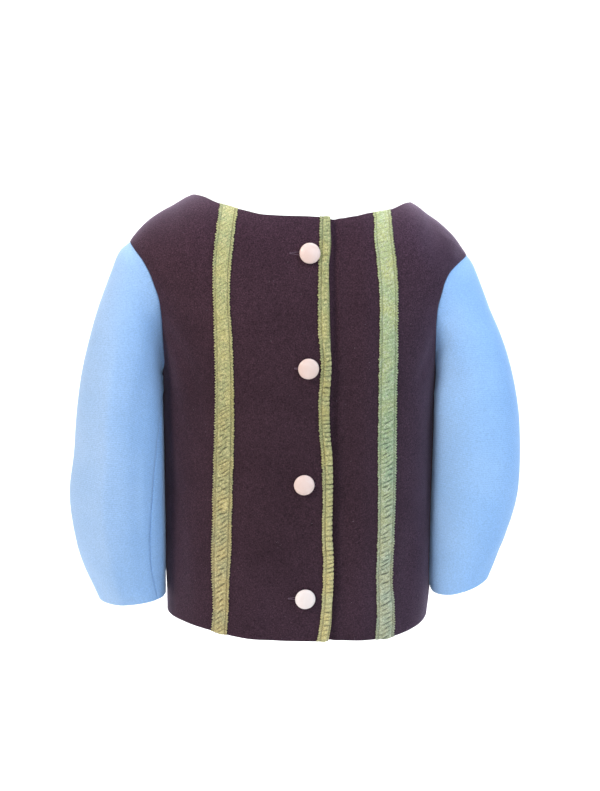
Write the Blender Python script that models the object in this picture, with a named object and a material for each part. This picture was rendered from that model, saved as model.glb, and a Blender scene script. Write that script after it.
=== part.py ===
"""A collarless wool jacket with full two-piece sleeves, filled out as if it were worn.

The front faces -Y, +X is the wearer's left and +Z is up. The origin is in the middle of
the neck opening, level with the neck points, where the shoulders hold the jacket up.
Every cloth piece is a wall: a grid of points on its outer face, and the same grid moved
in by the cloth's thickness.
"""

import math
from collections import namedtuple

import bmesh
import bpy
import numpy as np

MM = 0.001

# Cloth and seams, in millimetres
WALL = 2.4
SEAM_GAP = 0.4
SLEEVE_SEAM_GAP = 0.7
LAY_GAP = 0.3
RIBBON_THICK = 0.8
RIBBON_WIDTH = 26.0
EDGE_WIDTH = 12.8
EDGE_RETURN = 10.0
CREST_SHARE = 0.36
FOLD_SHARE = 0.3
RIBBON_CLEARANCE = 0.4
LAP_DROP = WALL + 2 * LAY_GAP + RIBBON_THICK + RIBBON_CLEARANCE
# A ribbon's underside is flat between its edges and its middle, so it lies a little higher
RIBBON_LIFT = 0.4
SAG = 0.3

# The body's level sections. The half width above the underarms is that of the whole
# figure with its shoulders, from which the armholes are cut.
Section = namedtuple("Section", "height half_width front back sway")
BODY = (
    Section(-595, 185.5, 117, 110, 2.8),
    Section(-545, 187.3, 117, 110, 4.8),
    Section(-480, 188.5, 117, 109, 3.5),
    Section(-400, 188.3, 117, 108, 1.3),
    Section(-320, 188.5, 118, 107, 0.0),
    Section(-240, 189.0, 120, 107, -1.0),
    Section(-200, 193.0, 121, 108, -1.8),
    Section(-160, 203.0, 119, 108, -2.6),
    Section(-120, 221.0, 113, 105, -3.6),
    Section(-80, 245.0, 105, 100, -4.6),
    Section(-40, 266.0, 98, 95, -4.0),
    Section(0, 276.0, 94, 91, -2.5),
    Section(30, 280.0, 92, 90, -2.5),
)
SQUARENESS = 2.1

# The shoulder line in front view, running on across the open neck
Ridge = namedtuple("Ridge", "across height")
RIDGE = (
    Ridge(0, 24),
    Ridge(60, 19),
    Ridge(110, 7.5),
    Ridge(137, 3.4),
    Ridge(147, -0.5),
    Ridge(157, -5.0),
    Ridge(172, -14.7),
    Ridge(195, -29),
    Ridge(207, -38.5),
    Ridge(220, -52.5),
    Ridge(230, -66.5),
    Ridge(240, -90),
)
# How far down from the ridge the cloth rounds over, at the neck and at the shoulder's end
ROUND_AT_NECK = 75.0
ROUND_AT_END = 118.0
NECK_POINT = 147.0
SHOULDER_END = 230.0
# The right shoulder hangs a little higher than the left: the rise for each millimetre across
SHOULDER_TILT = 0.022
TILT_STARTS = -240.0

Neckline = namedtuple("Neckline", "across height")
NECKLINE = (
    Neckline(0, -22),
    Neckline(40, -22.5),
    Neckline(60, -21.8),
    Neckline(80, -18),
    Neckline(100, -14),
    Neckline(122, -7.6),
    Neckline(130, -4.0),
    Neckline(137, -2.1),
    Neckline(147, -0.5),
)
BACK_NECKLINE = (
    Neckline(0, -30),
    Neckline(60, -29.5),
    Neckline(80, -25),
    Neckline(100, -20.5),
    Neckline(112, -18),
    Neckline(122, -15),
    Neckline(132, -11),
    Neckline(140, -5.8),
    Neckline(147, -0.5),
)
# How much higher the left half's neckline and shoulder stand than the right half's
Rise = namedtuple("Rise", "across height")
LEFT_RISE = (
    Rise(0, 0),
    Rise(30, 1.2),
    Rise(60, 3.0),
    Rise(85, 3.2),
    Rise(105, 2.2),
    Rise(133, 2.9),
    Rise(150, 2.9),
    Rise(167, 1.7),
    Rise(182, 1.8),
    Rise(200, 0.4),
    Rise(215, 0),
)

# The armholes in front view, from the underarm to the shoulder's end: how far across each lies
Armhole = namedtuple("Armhole", "height right left")
ARMHOLE = (
    Armhole(-240, 189.0, 189.0),
    Armhole(-225, 186.3, 185.3),
    Armhole(-205, 186.5, 182.8),
    Armhole(-185, 187.2, 181.0),
    Armhole(-160, 188.0, 179.3),
    Armhole(-138, 190.5, 180.0),
    Armhole(-117, 197.0, 184.8),
    Armhole(-101, 203.5, 189.5),
    Armhole(-86, 213.0, 200.0),
    Armhole(-76, 222.0, 213.5),
    Armhole(-66.5, 230.0, 230.0),
)

# The hem round the body, by the angle from the centre front towards the wearer's left
Hem = namedtuple("Hem", "angle height")
HEM = (
    Hem(-180, -578),
    Hem(-90, -577.5),
    Hem(-45, -578.5),
    Hem(-25, -584),
    Hem(0, -585.5),
    Hem(22, -589),
    Hem(45, -590),
    Hem(60, -586),
    Hem(90, -580),
    Hem(180, -578),
)

# Rows of the body panels: the height at the centre line and at the side or armhole edge.
# The first six steps reach the underarm, and the rest climb the armhole.
Row = namedtuple("Row", "centre edge")
ROWS = (
    Row(-585, -578),
    Row(-538, -528),
    Row(-481, -470),
    Row(-424, -412),
    Row(-366, -354),
    Row(-309, -297),
    Row(-254, -240),
    Row(-230, -231),
    Row(-206, -214),
    Row(-183, -190),
    Row(-160, -165),
    Row(-137, -140),
    Row(-115, -118),
    Row(-94, -101),
    Row(-73, -88),
    Row(-53, -78),
    Row(-36, -71),
    Row(-22, -66.5),
)
UNDERARM_ROW = 6
NECK_COLUMNS = 8
SHOULDER_COLUMNS = 6

# The front edges: the overlapping front reaches past the centre, and the other lies under it
EdgeLine = namedtuple("EdgeLine", "height across")
EDGE_LINE = (
    EdgeLine(-585, 30.1),
    EdgeLine(-566, 32.0),
    EdgeLine(-538, 32.3),
    EdgeLine(-501, 33.0),
    EdgeLine(-475, 33.0),
    EdgeLine(-436, 30.9),
    EdgeLine(-397, 31.0),
    EdgeLine(-358, 31.5),
    EdgeLine(-325, 30.2),
    EdgeLine(-306, 27.9),
    EdgeLine(-280, 26.3),
    EdgeLine(-254, 26.2),
    EdgeLine(-228, 27.4),
    EdgeLine(-208, 28.1),
    EdgeLine(-189, 27.4),
    EdgeLine(-163, 26.4),
    EdgeLine(-111, 26.3),
    EdgeLine(-85, 26.2),
    EdgeLine(-59, 28.6),
    EdgeLine(-33, 27.6),
)
UNDER_EDGE = 30.0
LAP_FULL = 45.0
LAP_ENDS = 82.0

# Ribbons
RibbonLine = namedtuple("RibbonLine", "height across")
RIBBON_LINE = (
    RibbonLine(-595, 112),
    RibbonLine(-450, 110),
    RibbonLine(-250, 108.5),
    RibbonLine(-110, 107.5),
    RibbonLine(-50, 103),
    RibbonLine(-15, 98),
)
GATHER_PITCH = 10.0
GATHER_RISE = 1.5
GATHER_SLANT = 2.6
TROUGH_RISE = 0.12
STITCH_LINE = 0.72
# Gathers are uneven: the least share of the full rise, and the two waves that vary the rest
LEAST_GATHER = 0.72
GATHER_WAVES = (2.4, 0.9)

# Buttons, and the keyhole buttonholes that they pass through
Button = namedtuple("Button", "height across slit_end")
BUTTONS = (
    Button(-69, 4.0, 25.0),
    Button(-215, 1.0, 17.0),
    Button(-369, -3.0, 12.5),
    Button(-525, -2.0, 22.0),
)
BUTTON_PROFILE = (
    # radius, height over the cloth
    (0.0, 8.4),
    (4.5, 8.1),
    (8.5, 7.2),
    (11.4, 5.7),
    (13.0, 4.0),
    (13.1, 3.0),
    (12.0, 2.0),
    (5.0, 1.7),
)
SHANK_RADIUS = 2.0
BUTTON_SIDES = 24
EYE_RADIUS = 2.7
EYE_SIDES = 12
SLIT_WIDTH = 1.4

# Sleeves: each ring's outermost and innermost points in front view, measured from the
# jacket's middle, and how far it reaches forward and back. The last ring is the cuff.
Ring = namedtuple("Ring", "outer outer_height inner inner_height front back")
SLEEVE_RIGHT = (
    Ring(248.5, -76, 191.6, -243.5, 58, 60),
    Ring(258.6, -101, 191.4, -248, 62, 64),
    Ring(269.6, -131, 191.0, -253, 65, 67),
    Ring(279, -160, 190.4, -260, 67, 70),
    Ring(289.4, -200, 189.6, -272, 69, 72),
    Ring(298.8, -245, 188.8, -290, 71, 75),
    Ring(305.5, -296, 187.8, -320, 73, 77),
    Ring(309.5, -350, 186.8, -360, 74, 78),
    Ring(316.3, -401, 185.8, -402, 73, 77),
    Ring(313.5, -436, 185.2, -438, 71, 75),
    Ring(307.0, -471, 184.8, -471, 66, 70),
    Ring(296.8, -503, 184.6, -501, 60, 63),
    Ring(285.6, -529, 184.6, -525, 54, 57),
    Ring(276.3, -551.5, 184.4, -547.5, 49, 52),
)
SLEEVE_LEFT = (
    Ring(235, -86, 191.0, -243.5, 56, 58),
    Ring(247.7, -116, 190.9, -248, 61, 63),
    Ring(258.6, -144, 190.8, -253, 64, 66),
    Ring(270.6, -171, 190.6, -260, 67, 70),
    Ring(283.3, -204, 190.3, -272, 69, 73),
    Ring(294, -243, 190.0, -290, 71, 76),
    Ring(303, -290, 189.8, -320, 73, 78),
    Ring(307.4, -345, 190.0, -360, 74, 78),
    Ring(307.3, -392, 190.4, -402, 72, 76),
    Ring(300.5, -431, 190.9, -439, 69, 73),
    Ring(292.5, -461, 191.6, -471, 64, 68),
    Ring(284.5, -484, 192.2, -499, 58, 62),
    Ring(278.5, -502, 192.7, -523, 53, 56),
    Ring(272.5, -520, 193.2, -545.5, 48, 51),
)
RING_SQUARENESS = 2.25
# How far the columns crowd towards the front and back of a ring, in degrees
COLUMN_CROWDING = 8.0
# The first rings take over the armhole's own shape, less with each
CAP_BLEND_RINGS = 5
# How far forward a sleeve hangs, and how far its seams turn round it, in degrees, at the cuff
HANG_FORWARD = 20.0
FORWARD_FROM = 0.45
TWIST_RIGHT = 0.0
TWIST_LEFT = 20.0
FRONT_SEAM_COLUMN = 3
BACK_SEAM_COLUMN = 19

# Edges that turn by more degrees than this look sharp
SHARP_ANGLE = 40.0

Finish = namedtuple("Finish", "colour roughness metallic")
BROWN_WOOL = Finish((0.050, 0.026, 0.038, 1), 0.95, 0.0)
BLUE_WOOL = Finish((0.36, 0.58, 0.90, 1), 0.9, 0.0)
GREEN_RIBBON = Finish((0.42, 0.44, 0.16, 1), 0.6, 0.0)
PINK_BUTTON = Finish((0.93, 0.72, 0.62, 1), 0.25, 0.0)


def smooth_curve(places, values):
    """A smooth function through the values at the places, level beyond both ends."""
    order = np.argsort(places)
    places = np.array(places, float)[order]
    values = np.array(values, float)[order]
    slopes = np.gradient(values, places)

    def at(place):
        place = min(max(place, places[0]), places[-1])
        i = min(int(np.searchsorted(places, place, side="right")) - 1, len(places) - 2)
        span = places[i + 1] - places[i]
        f = (place - places[i]) / span
        start = (1 + 2 * f) * (1 - f) ** 2 * values[i] + f * (1 - f) ** 2 * span * slopes[i]
        end = f**2 * (3 - 2 * f) * values[i + 1] - f**2 * (1 - f) * span * slopes[i + 1]
        return start + end

    return at


def column_of(table, key, value):
    """A smooth function from one column of a table to another."""
    return smooth_curve([getattr(row, key) for row in table], [getattr(row, value) for row in table])


def signed_power(value, power):
    return math.copysign(abs(value) ** power, value)


def unit(vectors):
    return vectors / np.linalg.norm(vectors, axis=-1, keepdims=True)


body_half_width = column_of(BODY, "height", "half_width")
body_front = column_of(BODY, "height", "front")
body_back = column_of(BODY, "height", "back")
body_sway = column_of(BODY, "height", "sway")
right_ridge = column_of(RIDGE, "across", "height")
left_rise = column_of(LEFT_RISE, "across", "height")
front_neck = column_of(NECKLINE, "across", "height")
back_neck = column_of(BACK_NECKLINE, "across", "height")
right_armhole = column_of(ARMHOLE, "height", "right")
left_armhole = column_of(ARMHOLE, "height", "left")
hem_height = column_of(HEM, "angle", "height")
edge_across = column_of(EDGE_LINE, "height", "across")
ribbon_across = column_of(RIBBON_LINE, "height", "across")


def rise(across, side):
    """How far this half stands above the right one's heights."""
    return left_rise(across) if side > 0 else 0.0


def ridge_height(across, side):
    """The height of the ridge over the shoulder on one side."""
    return right_ridge(abs(across)) + rise(across, side)


def neck_height(across, side, facing):
    """The neckline's height on one quarter of the body."""
    neck = back_neck if facing > 0 else front_neck
    return neck(abs(across)) + rise(across, side)


def angle_at(across, height):
    """The angle round the body, in degrees from the centre line, that lies this far across."""
    share = min(abs(across) / body_half_width(height), 1.0)
    return math.copysign(math.degrees(math.asin(share ** (SQUARENESS / 2))), across)


def body_point(angle, height, side, facing):
    """A point on the body's outer face. facing is -1 for the front and 1 for the back."""
    turn = math.radians(angle)
    across = body_half_width(height) * signed_power(math.sin(turn), 2 / SQUARENESS)
    depth = body_front(height) if facing < 0 else body_back(height)
    reach = min(max((abs(across) - NECK_POINT) / (SHOULDER_END - NECK_POINT), 0.0), 1.0)
    rounding = ROUND_AT_NECK + (ROUND_AT_END - ROUND_AT_NECK) * reach
    drop = min(max((ridge_height(across, side) - height) / rounding, 0.0), 1.0)
    depth *= abs(math.cos(turn)) ** (2 / SQUARENESS) * math.sqrt(1 - (1 - drop) ** 2)
    lift = min(max((height - TILT_STARTS) / (NECKLINE[0].height - TILT_STARTS), 0.0), 1.0)
    tilted = height - SHOULDER_TILT * side * across * lift**2 * (3 - 2 * lift)
    return (side * across + body_sway(height), facing * depth, tilted)


def grid_normals(grid):
    """Unit normals of a grid of points, from the differences along its rows and columns."""
    along = np.gradient(grid, axis=1)
    up = np.gradient(grid, axis=0)
    return unit(np.cross(along, up))


def panel_rows(side, facing, first_across):
    """The outer grid of half a front or back, from its centre line to its side and armhole."""
    columns = NECK_COLUMNS + SHOULDER_COLUMNS
    top = []
    for column in range(columns + 1):
        start = first_across(neck_height(0, side, facing))
        if column <= NECK_COLUMNS:
            across = start + (NECK_POINT - start) * column / NECK_COLUMNS
            height = neck_height(across, side, facing)
        else:
            share = (column - NECK_COLUMNS) / SHOULDER_COLUMNS
            across = NECK_POINT + (SHOULDER_END - NECK_POINT) * share
            height = ridge_height(across, side)
        top.append((angle_at(across, height), height))
    lowest, highest = ROWS[0].centre, ROWS[-1].centre
    hem_start = angle_at(first_across(lowest), lowest)
    grid = []
    for row in ROWS:
        up = (row.centre - lowest) / (highest - lowest)
        centre = row.centre + up * (top[0][1] - highest)
        left = (angle_at(first_across(centre), centre), centre)
        across = right_armhole(row.edge) if side < 0 else left_armhole(row.edge)
        right = (angle_at(across, row.edge) if row.edge > ARMHOLE[0].height else 90.0, row.edge)
        points = []
        for column in range(columns + 1):
            u = column / columns
            hem_angle = hem_start + (90.0 - hem_start) * u
            round_body = side * (hem_angle if facing < 0 else 180.0 - hem_angle)
            bottom = (hem_angle, hem_height(round_body))
            place = []
            for axis in (0, 1):
                corners_low = (1 - u) * (hem_start, lowest)[axis] + u * (90.0, ROWS[0].edge)[axis]
                corners_high = (1 - u) * top[0][axis] + u * top[-1][axis]
                place.append(
                    (1 - u) * left[axis]
                    + u * right[axis]
                    + (1 - up) * (bottom[axis] - corners_low)
                    + up * (top[column][axis] - corners_high)
                )
            points.append(body_point(place[0], place[1], side, facing))
        grid.append(points)
    return np.array(grid)


def seam_normals(normals):
    """Sets the normals along the side and shoulder seams alike for the front and the back."""
    normals[: UNDERARM_ROW + 1, -1, 1] = 0.0
    normals[-1, NECK_COLUMNS:, 1] = 0.0
    return unit(normals)


def half_panel(side, facing, first_across, inset=None):
    """Outer points and normals of half a front or back, half a seam gap short of its seams."""
    grid = panel_rows(side, facing, first_across)
    normals = grid_normals(grid)
    if side * facing > 0:
        normals = -normals
    normals = seam_normals(normals)
    if inset:
        for place in np.ndindex(grid.shape[:2]):
            across = side * (grid[place][0] - body_sway(grid[place][2]))
            grid[place] -= normals[place] * inset(across)
    grid[: UNDERARM_ROW + 1, -1, 1] += facing * SEAM_GAP / 2
    grid[-1, NECK_COLUMNS:, 1] += facing * SEAM_GAP / 2
    return grid, normals


def lap_inset(across):
    """How far the under front lies inside the body's face, where the other front covers it."""
    share = min(max((LAP_ENDS - across) / (LAP_ENDS - LAP_FULL), 0.0), 1.0)
    return LAP_DROP * share**2 * (3 - 2 * share)


def front_panels():
    """The right front, which laps over the left one."""
    over = half_panel(-1, -1, lambda height: -edge_across(height))
    under = half_panel(1, -1, lambda height: -UNDER_EDGE, lap_inset)
    return over, under


def back_panel():
    """Both halves of the back, joined down the centre."""
    right, right_normals = half_panel(-1, 1, lambda height: 0.0)
    left, left_normals = half_panel(1, 1, lambda height: 0.0)
    left_normals[:, 0, 0] = 0.0
    left_normals = unit(left_normals)
    grid = np.concatenate([left[:, ::-1], right[:, 1:]], axis=1)
    normals = np.concatenate([left_normals[:, ::-1], right_normals[:, 1:]], axis=1)
    return grid, normals


def armhole_loop(front, back):
    """The armhole's points from the underarm up the front to the shoulder and down the back.

    Each comes with the direction that leads out of the panel along its face.
    """
    points, ways = [], []
    for (grid, normals), order in ((front, 1), (back, -1)):
        edge = grid[UNDERARM_ROW:, -1]
        seam = unit(np.gradient(edge, axis=0))
        out = unit(edge - grid[UNDERARM_ROW:, -2])
        out = unit(out - seam * (out * seam).sum(axis=1, keepdims=True))
        way = out + normals[UNDERARM_ROW:, -1]
        points.append(edge[::order])
        ways.append(way[::order])
    front_points, back_points = points
    front_ways, back_ways = ways
    top = (front_points[-1] + back_points[0]) / 2
    bottom = (front_points[0] + back_points[-1]) / 2
    top_way = (front_ways[-1] + back_ways[0]) / 2
    bottom_way = (front_ways[0] + back_ways[-1]) / 2
    loop = [bottom, *front_points[1:-1], top, *back_points[1:-1]]
    leave = [bottom_way + (0, 0, 1), *front_ways[1:-1], top_way, *back_ways[1:-1]]
    return np.array(loop) + SEAM_GAP * np.array(leave)


def ring_points(ring, side, count, hang=0.0, twist=0.0):
    """A sleeve ring, from its innermost point round by the front and the outside to the back."""
    inner = np.array((side * ring.inner, -hang, ring.inner_height))
    outer = np.array((side * ring.outer, -hang, ring.outer_height))
    middle = (inner + outer) / 2
    half = (outer - inner) / 2
    points = []
    for i in range(count):
        turn = 2 * math.pi * i / count
        turn -= math.radians(COLUMN_CROWDING) * math.sin(2 * turn) + math.radians(twist)
        depth = ring.front if math.sin(turn) > 0 else ring.back
        reach = signed_power(math.cos(turn), 2 / RING_SQUARENESS)
        forward = signed_power(math.sin(turn), 2 / RING_SQUARENESS)
        points.append(middle - half * reach + np.array((0.0, -depth * forward, 0.0)))
    return np.array(points)


def sleeve_tube(side, rings, twist, front, back):
    """Outer points and normals of a whole sleeve, whose first ring is its armhole."""
    loop = armhole_loop(front, back)
    top = loop[len(loop) // 2]
    first = Ring(side * top[0], top[2], side * loop[0][0], loop[0][2], rings[0].front, rings[0].back)
    step = loop - ring_points(first, side, len(loop))
    grid = [loop]
    for number, ring in enumerate(rings, 1):
        share = max(1 - number / CAP_BLEND_RINGS, 0.0)
        down = number / len(rings)
        hang = HANG_FORWARD * min(down / FORWARD_FROM, 1.0)
        grid.append(ring_points(ring, side, len(loop), hang, twist * down) + step * share**2)
    grid = np.array(grid)
    wrapped = np.concatenate([grid[:, -1:], grid, grid[:, :1]], axis=1)
    normals = grid_normals(wrapped)[:, 1:-1]
    middle = grid.mean(axis=1, keepdims=True)
    if (normals * (grid - middle)).sum() < 0:
        normals = -normals
    return grid, normals


def sleeve_piece(tube, first, last):
    """The columns of a sleeve between two seams, drawn back by half a seam gap at each."""
    grid, normals = tube
    count = grid.shape[1]
    columns = [column % count for column in range(first, last + 1)]
    piece = grid[:, columns].copy()
    piece[:, 0] += unit(piece[:, 1] - piece[:, 0]) * SLEEVE_SEAM_GAP / 2
    piece[:, -1] += unit(piece[:, -2] - piece[:, -1]) * SLEEVE_SEAM_GAP / 2
    return piece, normals[:, columns]


def material(name, finish):
    found = bpy.data.materials.new(name)
    found.use_nodes = True
    shader = found.node_tree.nodes["Principled BSDF"]
    shader.inputs["Base Color"].default_value = finish.colour
    shader.inputs["Roughness"].default_value = finish.roughness
    shader.inputs["Metallic"].default_value = finish.metallic
    return found


def solid_object(name, points, faces, finish):
    """One closed object from points in millimetres and faces, with its normals turned out."""
    mesh = bpy.data.meshes.new(name)
    mesh.from_pydata([tuple(float(c) * MM for c in p) for p in points], [], faces)
    shape = bmesh.new()
    shape.from_mesh(mesh)
    bmesh.ops.recalc_face_normals(shape, faces=shape.faces)
    shape.to_mesh(mesh)
    shape.free()
    mesh.materials.append(material(name, finish))
    mesh.shade_smooth()
    mesh.set_sharp_from_angle(angle=math.radians(SHARP_ANGLE))
    solid = bpy.data.objects.new(name, mesh)
    bpy.context.scene.collection.objects.link(solid)
    return solid


def lofted(name, sections, finish):
    """A closed solid through sections that each list the same outline round, capped at both ends."""
    sections = np.array(sections)
    count = sections.shape[1]
    faces = []
    for i in range(len(sections) - 1):
        for j in range(count):
            k = (j + 1) % count
            faces.append((i * count + j, i * count + k, (i + 1) * count + k, (i + 1) * count + j))
    last = (len(sections) - 1) * count
    half = count // 2
    for base in (0, last):
        for j in range(half - 1):
            faces.append((base + j, base + j + 1, base + count - 2 - j, base + count - 1 - j))
    return solid_object(name, sections.reshape(-1, 3), faces, finish)


def wall(name, panel, finish):
    """A cloth wall from its outer points and normals.

    Each of its sections runs along a row of the outer face and back along the inner face.
    """
    grid, normals = panel
    inside = grid - normals * WALL
    sections = np.concatenate([grid, inside[:, ::-1]], axis=1)
    return lofted(name, sections, finish)


def on_panel(panel, column_place, row_place, lift):
    """A point over a panel, at a place given in its own columns and rows, moved out by lift."""
    grid, normals = panel
    i = min(int(row_place), grid.shape[0] - 2)
    j = min(int(column_place), grid.shape[1] - 2)
    f, g = row_place - i, column_place - j
    weights = (
        (i, j, (1 - f) * (1 - g)),
        (i, j + 1, (1 - f) * g),
        (i + 1, j, f * (1 - g)),
        (i + 1, j + 1, f * g),
    )
    point = sum(grid[a, b] * share for a, b, share in weights)
    normal = unit(sum(normals[a, b] * share for a, b, share in weights))
    return point + normal * lift


def column_across(panel, side, row_place, across):
    """The place in a panel's columns that lies this far across on its side, at one row place."""
    grid, _ = panel
    i = min(int(row_place), grid.shape[0] - 2)
    line = grid[i] + (grid[i + 1] - grid[i]) * (row_place - i)
    reach = [side * (point[0] - body_sway(point[2])) for point in line]
    return float(np.interp(across, reach, range(len(reach))))


def gather_rows(panel):
    """Row places up a panel for a ruched ribbon, two to each gather, and how high each rises."""
    grid, _ = panel
    places, rises = [], []
    gather = 0
    for i in range(grid.shape[0] - 1):
        length = np.linalg.norm(grid[i + 1, 0] - grid[i, 0])
        gathers = max(round(length / GATHER_PITCH), 1)
        for step in range(2 * gathers):
            places.append(i + step / (2 * gathers))
            wave = math.sin(GATHER_WAVES[0] * gather) * math.cos(GATHER_WAVES[1] * gather)
            uneven = LEAST_GATHER + (1 - LEAST_GATHER) * wave
            rises.append(GATHER_RISE * uneven if step % 2 else TROUGH_RISE)
            gather += step % 2
    return [*places, grid.shape[0] - 1.0], [*rises, TROUGH_RISE]


def slanted(place, shift, last):
    """A row place shifted along a ribbon, fading out at both of its ends."""
    fade = min(place, last - place, 1.0)
    return min(max(place + shift * fade, 0.0), last)


def flat_ribbon(name, panel, side):
    """A ribbon sewn along both edges and ruched between them."""
    sections = []
    places, rises = gather_rows(panel)
    last = places[-1]
    spacing = np.linalg.norm(np.diff(panel[0][:, 0], axis=0), axis=1)
    for place, rise in zip(places, rises):
        slant = GATHER_SLANT / spacing[min(int(place), len(spacing) - 1)]
        height = on_panel(panel, 0, place, 0)[2]
        middle = ribbon_across(height)
        section = []
        for part, lift in (
            (-1.0, RIBBON_LIFT + RIBBON_THICK),
            (-STITCH_LINE, RIBBON_LIFT + RIBBON_THICK),
            (0.0, RIBBON_LIFT + SAG + RIBBON_THICK + rise),
            (STITCH_LINE, RIBBON_LIFT + RIBBON_THICK),
            (1.0, RIBBON_LIFT + RIBBON_THICK),
            (1.0, RIBBON_LIFT),
            (0.0, RIBBON_LIFT + SAG),
            (-1.0, RIBBON_LIFT),
        ):
            row = slanted(place, slant * part, last) if lift > RIBBON_LIFT + SAG else place
            across = column_across(panel, side, row, middle + part * RIBBON_WIDTH / 2)
            section.append(on_panel(panel, across, row, lift))
        sections.append(section)
    return lofted(name, sections, GREEN_RIBBON)


def folded_ribbon(name, panel, side):
    """The ribbon folded round the overlapping front edge, ruched outside and flat inside."""
    sections = []
    inner, outer = LAY_GAP, LAY_GAP + RIBBON_THICK
    for place, rise in zip(*gather_rows(panel)):
        edge = on_panel(panel, 0, place, 0)
        normal = on_panel(panel, 0, place, 1) - edge
        away = edge - on_panel(panel, 0.5, place, 0)
        away = unit(away - normal * away.dot(normal))
        reach = side * (edge[0] - body_sway(edge[2]))
        sewn, crest, inside = (
            column_across(panel, side, place, reach + back)
            for back in (EDGE_WIDTH, EDGE_WIDTH * CREST_SHARE, EDGE_RETURN)
        )
        sections.append(
            [
                on_panel(panel, sewn, place, outer),
                on_panel(panel, crest, place, outer + SAG + rise),
                edge + away * (outer + rise * FOLD_SHARE) + normal * outer / 2,
                edge + away * outer / 2 - normal * (WALL + outer),
                on_panel(panel, inside, place, -WALL - outer),
                on_panel(panel, inside, place, -WALL - inner),
                edge + away * inner - normal * (WALL + inner),
                edge + away * inner + normal * inner,
                on_panel(panel, crest, place, inner + SAG),
                on_panel(panel, sewn, place, inner),
            ]
        )
    return lofted(name, sections, GREEN_RIBBON)


def button_seat(panel, side, button):
    """The button's place on the overlapping front, and the cloth's own directions there."""
    grid, _ = panel
    column = 0.0
    row = float(np.interp(button.height, grid[:, 0, 2], range(len(grid))))
    for _ in range(3):
        column = column_across(panel, side, row, side * button.across)
        line = [on_panel(panel, column, place, 0)[2] for place in range(len(grid))]
        row = float(np.interp(button.height, line, range(len(grid))))
    seat = on_panel(panel, column, row, 0)
    normal = on_panel(panel, column, row, 1) - seat
    across = unit(np.cross(normal, (0.0, 0.0, 1.0)))
    if across[0] < 0:
        across = -across
    up = unit(np.cross(across, normal))
    if up[2] < 0:
        up = -up
    return seat, normal, across, up


def turned_button(name, seat):
    """A domed button with a shank that passes through the buttonhole to the front below."""
    place, normal, across, up = seat
    foot = -(LAP_DROP - LAY_GAP)
    profile = [*BUTTON_PROFILE[1:], (SHANK_RADIUS, BUTTON_PROFILE[-1][1]), (SHANK_RADIUS, foot)]
    points = [place + normal * BUTTON_PROFILE[0][1]]
    for radius, height in profile:
        for k in range(BUTTON_SIDES):
            turn = 2 * math.pi * k / BUTTON_SIDES
            out = across * math.cos(turn) + up * math.sin(turn)
            points.append(place + out * radius + normal * height)
    foot_middle = len(points)
    points.append(place + normal * foot)
    faces = []
    for k in range(BUTTON_SIDES):
        n = (k + 1) % BUTTON_SIDES
        faces.append((0, 1 + k, 1 + n))
        for ring in range(len(profile) - 1):
            low, high = 1 + ring * BUTTON_SIDES, 1 + (ring + 1) * BUTTON_SIDES
            faces.append((low + k, high + k, high + n, low + n))
        last = 1 + (len(profile) - 1) * BUTTON_SIDES
        faces.append((last + k, foot_middle, last + n))
    return solid_object(name, points, faces, PINK_BUTTON)


def keyhole_cutter(name, seat, slit_end):
    """A cutter with a round eye at the shank and a slit that runs from it to the wearer's right."""
    place, normal, across, up = seat
    outline = []
    half = SLIT_WIDTH / 2
    opening = math.asin(half / EYE_RADIUS)
    for k in range(EYE_SIDES + 1):
        turn = -math.pi + opening + (2 * math.pi - 2 * opening) * k / EYE_SIDES
        outline.append((EYE_RADIUS * math.cos(turn), EYE_RADIUS * math.sin(turn)))
    outline += [(-slit_end, half), (-slit_end, -half)]
    count = len(outline)
    points = []
    for height in (WALL, LAY_GAP - 2 * WALL):
        points += [place + across * a + up * b + normal * height for a, b in outline]
    faces = [tuple(range(count)), tuple(range(count, 2 * count))]
    faces += [(k, (k + 1) % count, count + (k + 1) % count, count + k) for k in range(count)]
    cutter = solid_object(name, points, faces, BROWN_WOOL)
    cutter.hide_render = True
    cutter.display_type = "WIRE"
    return cutter


def cut_buttonholes(front, seats):
    for number, (button, seat) in enumerate(zip(BUTTONS, seats), 1):
        hole = front.modifiers.new(f"buttonhole_{number}", "BOOLEAN")
        hole.operation = "DIFFERENCE"
        hole.object = keyhole_cutter(f"buttonhole_cutter_{number}", seat, button.slit_end)


def build():
    for old in list(bpy.data.objects):
        bpy.data.objects.remove(old)
    over, under = front_panels()
    back = back_panel()
    front_right = wall("front_right", over, BROWN_WOOL)
    wall("front_left", under, BROWN_WOOL)
    wall("back", back, BROWN_WOOL)
    columns = NECK_COLUMNS + SHOULDER_COLUMNS
    back_left = (back[0][:, columns::-1], back[1][:, columns::-1])
    back_right = (back[0][:, columns:], back[1][:, columns:])
    for name, side, rings, twist, front, rear in (
        ("right", -1, SLEEVE_RIGHT, TWIST_RIGHT, over, back_right),
        ("left", 1, SLEEVE_LEFT, TWIST_LEFT, under, back_left),
    ):
        tube = sleeve_tube(side, rings, twist, front, rear)
        around = tube[0].shape[1]
        upper = sleeve_piece(tube, FRONT_SEAM_COLUMN, BACK_SEAM_COLUMN)
        lower = sleeve_piece(tube, BACK_SEAM_COLUMN, FRONT_SEAM_COLUMN + around)
        wall(f"sleeve_upper_{name}", upper, BLUE_WOOL)
        wall(f"sleeve_under_{name}", lower, BLUE_WOOL)
    flat_ribbon("ribbon_right", over, -1)
    flat_ribbon("ribbon_left", under, 1)
    folded_ribbon("ribbon_edge", over, -1)
    seats = [button_seat(over, -1, button) for button in BUTTONS]
    cut_buttonholes(front_right, seats)
    for number, seat in enumerate(seats, 1):
        turned_button(f"button_{number}", seat)


build()
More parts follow.
